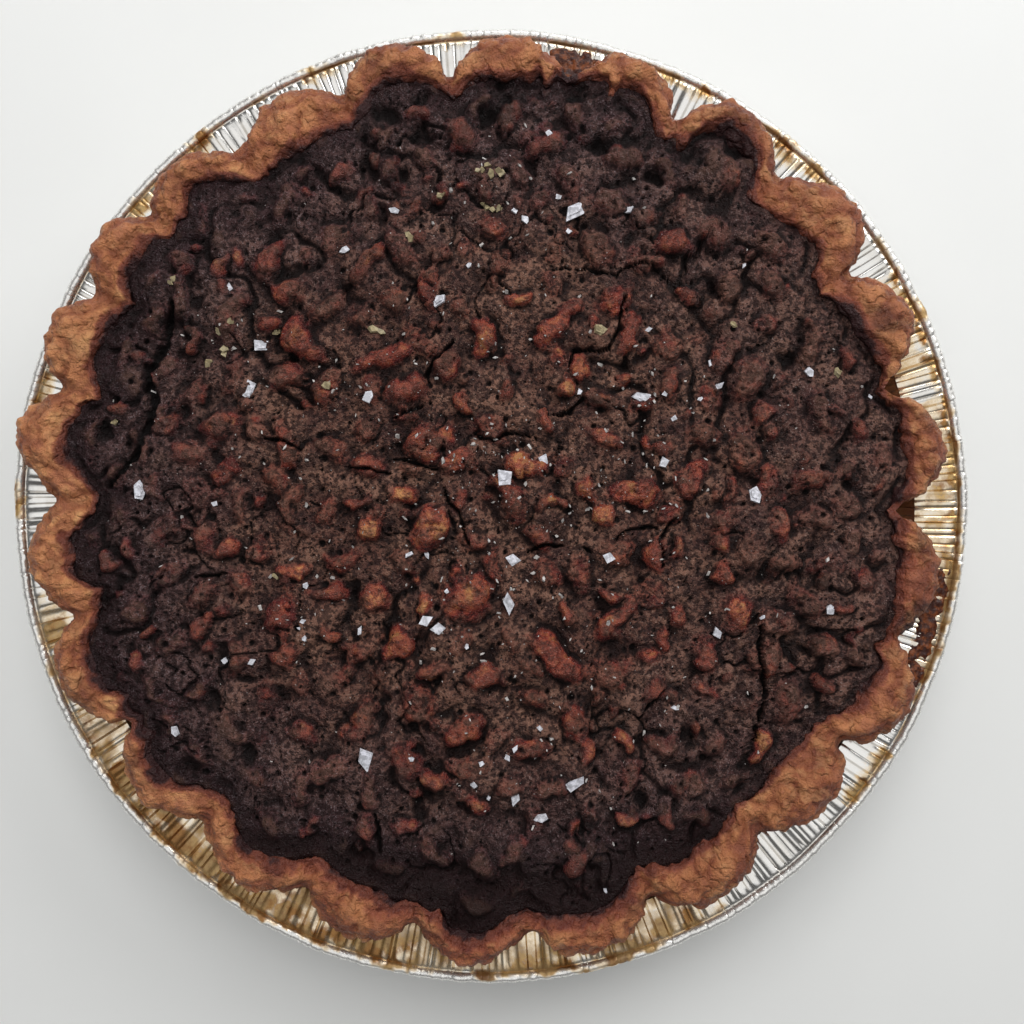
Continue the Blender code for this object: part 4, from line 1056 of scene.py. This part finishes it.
def makeTin(finish):
    directions, pleat = pleatedRing()
    section, insideRows, topRows = tinSection()
    rows, count, middle = len(section), len(directions), tin["midRadius"]
    step = np.gradient(section[:, :2], axis=0)
    away = np.column_stack([-step[:, 1], step[:, 0]])
    away /= np.linalg.norm(away, axis=1)[:, None]
    # folds stand up from the flange and out from the wall
    away[:insideRows] *= np.where(section[:insideRows, 1:2] < 37.0, -1.0, 1.0)
    away[topRows:] *= np.where(section[topRows:, 1:2] < 37.3, 1.0, -1.0)
    turn = np.tile(directions, rows)
    radius, height, depth = (np.repeat(section[:, column], count) for column in range(3))
    onSide = np.repeat(np.arange(rows) < topRows, count)  # the side that faces up
    push = np.tile(pleat, rows) * depth
    # the pleats swing a little and the flange is buckled
    around = ringOf(turn, middle, 0.0)
    swing = 0.0035 * ripple(around, 6.0, 61) * (radius - middle) / 6.0
    wave = 0.22 * ripple(around, 26.0, 62) + 0.10 * ripple(around, 8.0, 63)
    onTop = smoothStep(radius, 110.0, 114.0)
    radius = radius + push * np.repeat(away[:, 0], count) + 0.3 * onTop * ripple(around, 17.0, 64)
    height = height + push * np.repeat(away[:, 1], count) + wave * onTop
    # small dents pinch the rolled bead
    dent = smoothStep(radius, 119.6, 120.6) * onSide
    inSheet = np.column_stack([around[:, 0], around[:, 1], 1.4 * height + radius])
    pinch = 0.16 * ripple(around, 1.2, 65) + 0.10 * ripple(inSheet, 2.6, 66) + 0.12 * ripple(around, 9.0, 67)
    radius, height = radius + dent * pinch, height + dent * (0.5 * pinch + 0.16 * ripple(around, 1.7, 68))
    turn = turn + swing
    points = ringOf(turn, radius, height)
    strength, burnt = stainAt(points, radius, np.degrees(turn) % 360.0)
    above = onSide * smoothStep(height, 30.0, 36.0)
    # painted shade: the grooves are coloured darker than the flats between them, most of all on the outside of the
    # wall
    groove = np.clip((tin["flatRise"] - np.tile(pleat, rows)) / 0.6, 0.0, 1.0) * smoothStep(depth, 0.1, 0.4)
    onWall = (section[:, 1] < 36.8) & (np.arange(rows) > insideRows)
    groove *= np.repeat(np.where(onWall, 1.0, 0.45), count)
    marks = {name: np.append(value, (0.0, 0.0))
             for name, value in zip(foilMarks, (strength * above, burnt * above, dent, groove))}
    points = np.vstack([points, [[0.0, 0.0, tin["floorTop"]], [0.0, 0.0, 0.0]]])
    piece = makePiece("foilTin", points, closedFaces(rows, count), finish, marks, sharpAngle=38)
    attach(piece, "root")
    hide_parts("foil_tin")


def foilFinish():
    finish, shade = Finish("crimpedFoil", *foilMarks), tin["colours"]
    stain, burnt, bead, groove = finish.marks
    fine = finish.grain(0.7, 3.0, 0.6)
    broad = finish.grain(5.0, 2.0, 0.5, shift=4.0)
    # a film of caramel, amber where it is thin and brown where it is thick
    patchy = (stain * 1.6 - broad.between(0.35, 0.75) * 0.5 - fine.between(0.4, 0.8) * 0.25).clip()
    charred = (burnt * 1.6 - broad.between(0.3, 0.7) * 0.5).clip()
    amber = finish.coats(
        shade["amber"], (broad.between(0.40, 0.60), shade["deepAmber"]),
        (fine.between(0.48, 0.70) * 0.6, shade["brown"]), (patchy.between(0.9, 0.4), shade["thinFilm"]))
    # the grooves' darker colour is painted shade
    colour = finish.coats(
        shade["bright"], (broad.between(0.4, 0.7), shade["dull"]), (bead * 0.8, shade["bead"]),
        (bead * fine.between(0.50, 0.64) * 0.4, shade["beadFleck"]), (groove * 0.65, shade["groove"]),
        (patchy, amber), (charred, shade["charred"]))
    rough = patchy * 0.08 + 0.18 + (fine - 0.5) * 0.12 + bead * 0.1
    metallic = 1.0 - charred * 0.8 - bead * 0.2 - patchy * 0.15
    normal = finish.relief(broad * 0.6 + fine * (bead * 0.8 + 0.2), 0.2, 0.5)
    return finish.done(Base_Color=colour, Roughness=rough, Metallic=metallic, Normal=normal)


# Burnt caramel that has boiled over onto the flange: from and to direction, from and to radius, how much is covered
spills = ((336.5, 352.5, 112.5, 119.8, .50), (75.5, 83.0, 108.5, 119.8, .50), (217, 224, 116.5, 119.8, -.05))
spill = {"cell": 0.36, "bottom": 37.95, "thickness": 0.75, "midRadius": 116.0,
         "darkest": (0.038, 0.009, 0.005), "amber": (0.19, 0.052, 0.014)}


def makeCaramel(finish):
    # thin lumpy crusts, closed below, where a noise rises over a level
    points, faces, first = [], [], 0
    middle = spill["midRadius"]
    for start, end, inner, outer, share in spills:
        columns = round(math.radians(end - start) * middle / spill["cell"])
        rows = round((outer - inner) / spill["cell"])
        turn, radius = np.meshgrid(np.radians(np.linspace(start, end, columns + 1)),
                                   np.linspace(inner, outer, rows + 1))
        turn, radius = turn.ravel(), radius.ravel()
        spot = ringOf(turn, radius, 0.0)
        edge = np.minimum(np.minimum(radius - inner, outer - radius),
                          middle * np.minimum(turn - turn.min(), turn.max() - turn))
        field = share + 0.55 * ripple(spot, 4.2, 71) + 0.3 * ripple(spot, 1.6, 72) - 0.9 * np.exp(-edge / 0.9)
        rise = spill["thickness"] * smoothStep(field, 0.0, 0.6) * (1.0 + 0.4 * ripple(spot, 1.3, 73))
        points += [spot + (0, 0, 1) * (spill["bottom"] + 0.03 + rise)[:, None], spot + (0, 0, spill["bottom"])]
        total = len(turn)
        index = np.arange(total).reshape(rows + 1, columns + 1)
        full = (field > 0.0).reshape(rows + 1, columns + 1)
        full = full[:-1, :-1] | full[1:, :-1] | full[:-1, 1:] | full[1:, 1:]
        kept = np.pad(full, 1)
        for row, column in np.argwhere(full):
            a, b = index[row, column], index[row, column + 1]
            c, d = index[row + 1, column + 1], index[row + 1, column]
            faces.append([first + corner for corner in (a, d, c, b)])
            faces.append([first + total + corner for corner in (a, b, c, d)])
            for side, low, high in (((0, 1), a, b), ((1, 2), b, c), ((2, 1), c, d), ((1, 0), d, a)):
                if not kept[row + side[0], column + side[1]]:
                    faces.append([first + low, first + high, first + total + high, first + total + low])
        first += 2 * total
    piece = makePiece("burntCaramel", np.vstack(points), faces, finish)
    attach(piece, "root")
    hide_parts("foil_tin")


def caramelFinish():
    finish = Finish("burntCaramel")
    cloudy = finish.grain(1.6, 3.0, 0.6)
    colour = finish.mix(cloudy.between(0.42, 0.66), spill["darkest"], spill["amber"])
    normal = finish.relief(finish.grain(0.8, 2.0, 0.5, shift=1.0), 0.4, 0.8)
    return finish.done(Base_Color=colour, Roughness=0.3, Normal=normal, Specular_IOR_Level=0.35)


# Salt and grains

salt = {"seed": 77, "reach": 99.0, "sharpAngle": 25, "share": 0.75, "spread": 0.6,
        "flake": (0.72, 0.72, 0.78), "speck": (0.50, 0.47, 0.45), "grain": (0.40, 0.33, 0.19)}

# Flakes of salt that show, as pixels across and down and size in millimetres;
# of the largest also how wide for their length, and which way they lie
flakes = (
    (575, 213, 7.4, .45, 35), (368, 756, 5.6, .6, 100), (574, 781, 6.2, .5, 25), (643, 399, 5.6, .45, -20),
    (504, 479, 4.8, .8, 90), (252, 392, 4.6, .75, 0), (264, 346, 4.2), (142, 490, 4.8, .6, 95),
    (509, 602, 5.4, .45, 105), (513, 560, 3.6), (753, 495, 4.0), (716, 387, 3.4), (439, 303, 3.6), (541, 814, 3.8),
    (515, 795, 3.6), (440, 626, 3.4), (427, 619, 3.2), (607, 557, 3.0), (716, 633, 3.0), (662, 463, 3.0),
    (396, 215, 3.2), (346, 252, 2.6), (627, 214, 2.6), (568, 235, 1.8), (558, 199, 1.8), (548, 139, 1.8),
    (525, 222, 2.2), (515, 214, 1.8), (469, 267, 1.6), (742, 268, 1.8), (579, 393, 1.6), (663, 395, 1.6),
    (698, 400, 1.4), (647, 331, 1.8), (543, 460, 2.8), (672, 419, 1.6), (708, 364, 1.8), (827, 609, 2.8),
    (224, 661, 2.6), (254, 661, 2.2), (410, 554, 2.2), (427, 554, 2.2), (362, 629, 2.4), (467, 644, 1.8),
    (674, 706, 2.0), (540, 726, 1.6), (515, 746, 2.0), (760, 616, 1.6), (482, 759, 1.6), (507, 756, 1.8),
    (413, 755, 1.6), (474, 781, 1.8), (489, 796, 1.8), (306, 620, 1.6), (302, 627, 1.4), (307, 637, 1.4),
    (307, 585, 1.6), (448, 590, 1.4), (870, 397, 1.4), (807, 373, 2.6), (233, 290, 1.8), (217, 504, 1.6),
    (605, 889, 1.6), (370, 398, 3.0), (178, 729, 3.0),
)
# Yellowish grains: pixels across and down and size
grains = (
    (491, 173, 2.4), (491, 207, 2.6), (412, 240, 2.2), (442, 199, 1.8), (378, 333, 2.6), (328, 388, 2.2),
    (278, 333, 1.8), (598, 334, 3.2), (732, 326, 1.8), (837, 373, 2.2), (224, 333, 1.8), (226, 354, 2.0),
    (236, 324, 1.6), (210, 365, 1.8), (116, 424, 1.8), (176, 284, 1.8), (280, 576, 1.8), (500, 176, 2.0),
    (480, 176, 1.8), (498, 212, 1.8), (484, 204, 1.6),
)
# Fine specks: pixels across and down of the middle of a sprinkle, its spread in millimetres, how many
sprinkles = (
    (500, 200, 14, 40), (480, 470, 18, 90), (620, 400, 22, 60), (370, 400, 20, 60), (640, 490, 16, 50),
    (500, 760, 18, 60), (300, 620, 14, 40), (230, 350, 16, 40), (530, 620, 26, 70), (440, 330, 26, 60),
    (700, 620, 26, 40), (800, 400, 14, 25), (560, 280, 22, 40), (280, 480, 30, 50), (620, 780, 20, 25),
    (490, 500, 75, 500), (520, 480, 40, 250),
)


class Scatter:
    # many small loose things gathered into one mesh
    def __init__(self):
        self.points, self.faces, self.count = [], [], 0

    def put(self, points, faces):
        self.points.append(points)
        self.faces += [[self.count + corner for corner in face] for face in faces]
        self.count += len(points)

    def piece(self, name, finish):
        made = makePiece(name, np.vstack(self.points), self.faces, finish, sharpAngle=salt["sharpAngle"])
        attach(made, "root")
        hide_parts("walnut_filling")


def tumbled(points, draw, lean, turn=None):
    # turned any way about the vertical, and leaning up to lean degrees
    turn = turn or draw.uniform(0, 2 * math.pi)
    tiltX, tiltY = (math.radians(draw.uniform(-lean, lean)) for _ in range(2))
    spin = np.array([[math.cos(turn), -math.sin(turn), 0], [math.sin(turn), math.cos(turn), 0], [0, 0, 1]])
    tilt = np.array([[1, 0, tiltY], [0, 1, tiltX], [-tiltY, -tiltX, 1]])
    return points @ spin.T @ tilt.T


def crystal(size, thickness, draw, tier=0.0, aspect=None):
    # a thin angular flake; tier adds a smaller plate on top
    corners = draw.choice((4, 4, 4, 5, 5))
    start, aspect = draw.uniform(0, 1), aspect or draw.uniform(0.45, 0.95)
    shape = []
    for index in range(corners):
        turn = 2.0 * math.pi * (index + draw.uniform(-0.2, 0.2) + start) / corners
        reach = 0.56 * size * draw.uniform(0.8, 1.2)
        shape.append((reach * math.cos(turn), reach * math.sin(turn)))
    shape = np.array(shape) * (1.0, aspect)
    levels = [(1.0, -0.5), (0.97, 0.5)]
    if tier:
        levels += [(0.60, 0.5), (0.56, 0.5 + tier)]
    shift = np.array([draw.uniform(-0.12, 0.12) * size for _ in range(2)]) * (1.0, aspect)
    points = []
    for index, (scale, height) in enumerate(levels):
        rise = [height * thickness + draw.uniform(-.12, .12) * thickness * (index % 2) for _ in range(corners)]
        points.append(np.column_stack([scale * shape + shift * (index > 1), rise]))
    faces = [list(range(corners))[::-1], [(len(levels) - 1) * corners + index for index in range(corners)]]
    for level in range(len(levels) - 1):
        low, high = level * corners, (level + 1) * corners
        faces += [[low + index, low + (index + 1) % corners, high + (index + 1) % corners, high + index]
                  for index in range(corners)]
    return np.vstack(points), faces


def heightAt(tree, x, y):
    # the filling's top here, looked for from well above; None off the filling
    hit = tree.ray_cast(Vector((x * mm, y * mm, 0.1)), Vector((0.0, 0.0, -1.0)))[0]
    return hit.z / mm if hit else None


def makeSalt(tree):
    draw = random.Random(salt["seed"])
    largest, specks, yellow = Scatter(), Scatter(), Scatter()
    for across, down, size, *shape in flakes:
        x, y = fromPhoto(across, down)
        thickness = min(0.75, 0.28 * size)
        aspect, turn = shape or (None, 0)
        points, faces = crystal(size, thickness, draw, 0.5 if size > 3.5 else 0.0, aspect)
        points = tumbled(points, draw, 12, math.radians(turn))
        largest.put(points + (x, y, heightAt(tree, x, y) + 0.35 * thickness + 0.1), faces)
    # fine salt specks, partly salt and partly standing in for the small glints on the filling
    for across, down, spread, many in sprinkles:
        middleX, middleY = fromPhoto(across, down)
        spread = salt["spread"] * spread
        for _ in range(round(salt["share"] * many)):
            x, y = middleX + draw.gauss(0, spread), middleY + draw.gauss(0, spread)
            height = heightAt(tree, x, y)
            size = 0.22 + 1.1 * draw.random()**4
            if height is None or math.hypot(x, y) > salt["reach"]:
                continue
            points, faces = crystal(size, 0.35 * size, draw)
            points = tumbled(points * (draw.uniform(0.9, 1.5), 0.8, 1.0), draw, 35)
            specks.put(points + (x, y, height + 0.1 * size), faces)
    for across, down, size in grains:
        for _ in range(2):
            x, y = fromPhoto(across + draw.gauss(0, 0.9 * size), down + draw.gauss(0, 0.9 * size))
            points, faces = crystal(size, 0.2 * size, draw)
            yellow.put(tumbled(points, draw, 40) + (x, y, heightAt(tree, x, y) + 0.1 * size), faces)
    largest.piece("saltFlakes", saltFinish("flakySalt", salt["flake"]))
    specks.piece("saltSpecks", saltFinish("fineSalt", salt["speck"]))
    yellow.piece("meltedGrains", saltFinish("meltedGrain", salt["grain"]))


def saltFinish(name, shade):
    finish = Finish(name)
    cloudy = finish.grain(1.2, 2.0, 0.6)
    colour = finish.mix(cloudy.between(0.40, 0.62), tuple(0.6 * part for part in shade), shade)
    normal = finish.relief(finish.grain(0.6, 2.0, 0.5, shift=1.0), 0.2, 0.5)
    return finish.done(Base_Color=colour, Roughness=0.32, Normal=normal)


# Light, floor and camera

stage = {
    "floorColour": (0.82, 0.825, 0.81), "floorHalf": 3000.0, "floorHeight": -0.05,
    # brightness of the room by the height looked at, from the floor's level to straight up
    "roomGreys": ((0.08, 0.62), (0.36, 0.10), (0.78, 0.12), (0.90, 0.87)),
    "cameraPlace": (0.0054, -0.0015, 0.3305), "lens": 40.0, "sensor": 36.0, "lampDistance": 1.1, "lampSize": 0.6,
    # height and direction in degrees, power, whether it shows in reflections
    "lamps": {"ceilingLamp": (60, 90, 4.4, False), "rightLamp": (34, 45, 3.7, True),
              "backLamp": (34, 90, 2.1, True), "leftLamp": (50, 150, 1.0, False)},
}


def makeLight(name, rise, direction, power, mirrored):
    light = bpy.data.lights.new(name, "AREA")
    light.shape, light.size, light.energy = "DISK", stage["lampSize"], power
    lamp = bpy.data.objects.new(name, light)
    rise, direction = math.radians(rise), math.radians(direction)
    lamp.location = stage["lampDistance"] * Vector((
        math.cos(rise) * math.cos(direction), math.cos(rise) * math.sin(direction), math.sin(rise)))
    lamp.rotation_euler = (-lamp.location).to_track_quat("-Z", "Y").to_euler()
    lamp.visible_glossy = mirrored
    bpy.context.scene.collection.objects.link(lamp)


def makeFloor():
    finish, shade = Finish("paleFloor"), stage["floorColour"]
    cloudy = finish.grain(60.0, 2.0, 0.5)
    colour = finish.mix(cloudy.between(0.3, 0.7), shade, tuple(0.985 * part for part in shade))
    half, height = stage["floorHalf"], stage["floorHeight"]
    corners = [(x, y, height) for x, y in ((-half, -half), (half, -half), (half, half), (-half, half))]
    floor = makePiece("floor", corners, [(0, 1, 2, 3)], finish.done(Base_Color=colour, Roughness=0.6))


def makeRoom():
    room = Finish("softRoom", room=True)
    rise = room.add("ShaderNodeSeparateXYZ", None, {0: room.place}, output="Z")
    grey = room.ramp(rise, *((place, (bright,) * 3) for place, bright in stage["roomGreys"]))
    light = room.add("ShaderNodeBackground", None, {"Color": grey})
    room.add("ShaderNodeOutputWorld", None, {"Surface": light})
    bpy.context.scene.world = room.made


def makeStage():
    makeFloor()
    makeRoom()
    for name, settings in stage["lamps"].items():
        makeLight(name, *settings)
    camera = bpy.data.cameras.new("camera")
    camera.lens, camera.sensor_width = stage["lens"], stage["sensor"]
    holder = bpy.data.objects.new("camera", camera)
    holder.location = stage["cameraPlace"]
    bpy.context.scene.collection.objects.link(holder)
    bpy.context.scene.camera = holder
    bpy.context.scene.view_settings.view_transform = "Standard"
    print("light, floor and camera made")


makeStage()
makeTin(foilFinish())
makeCaramel(caramelFinish())
makePastry(pastryFinish())
makeSalt(makeFilling(fillingFinish()))
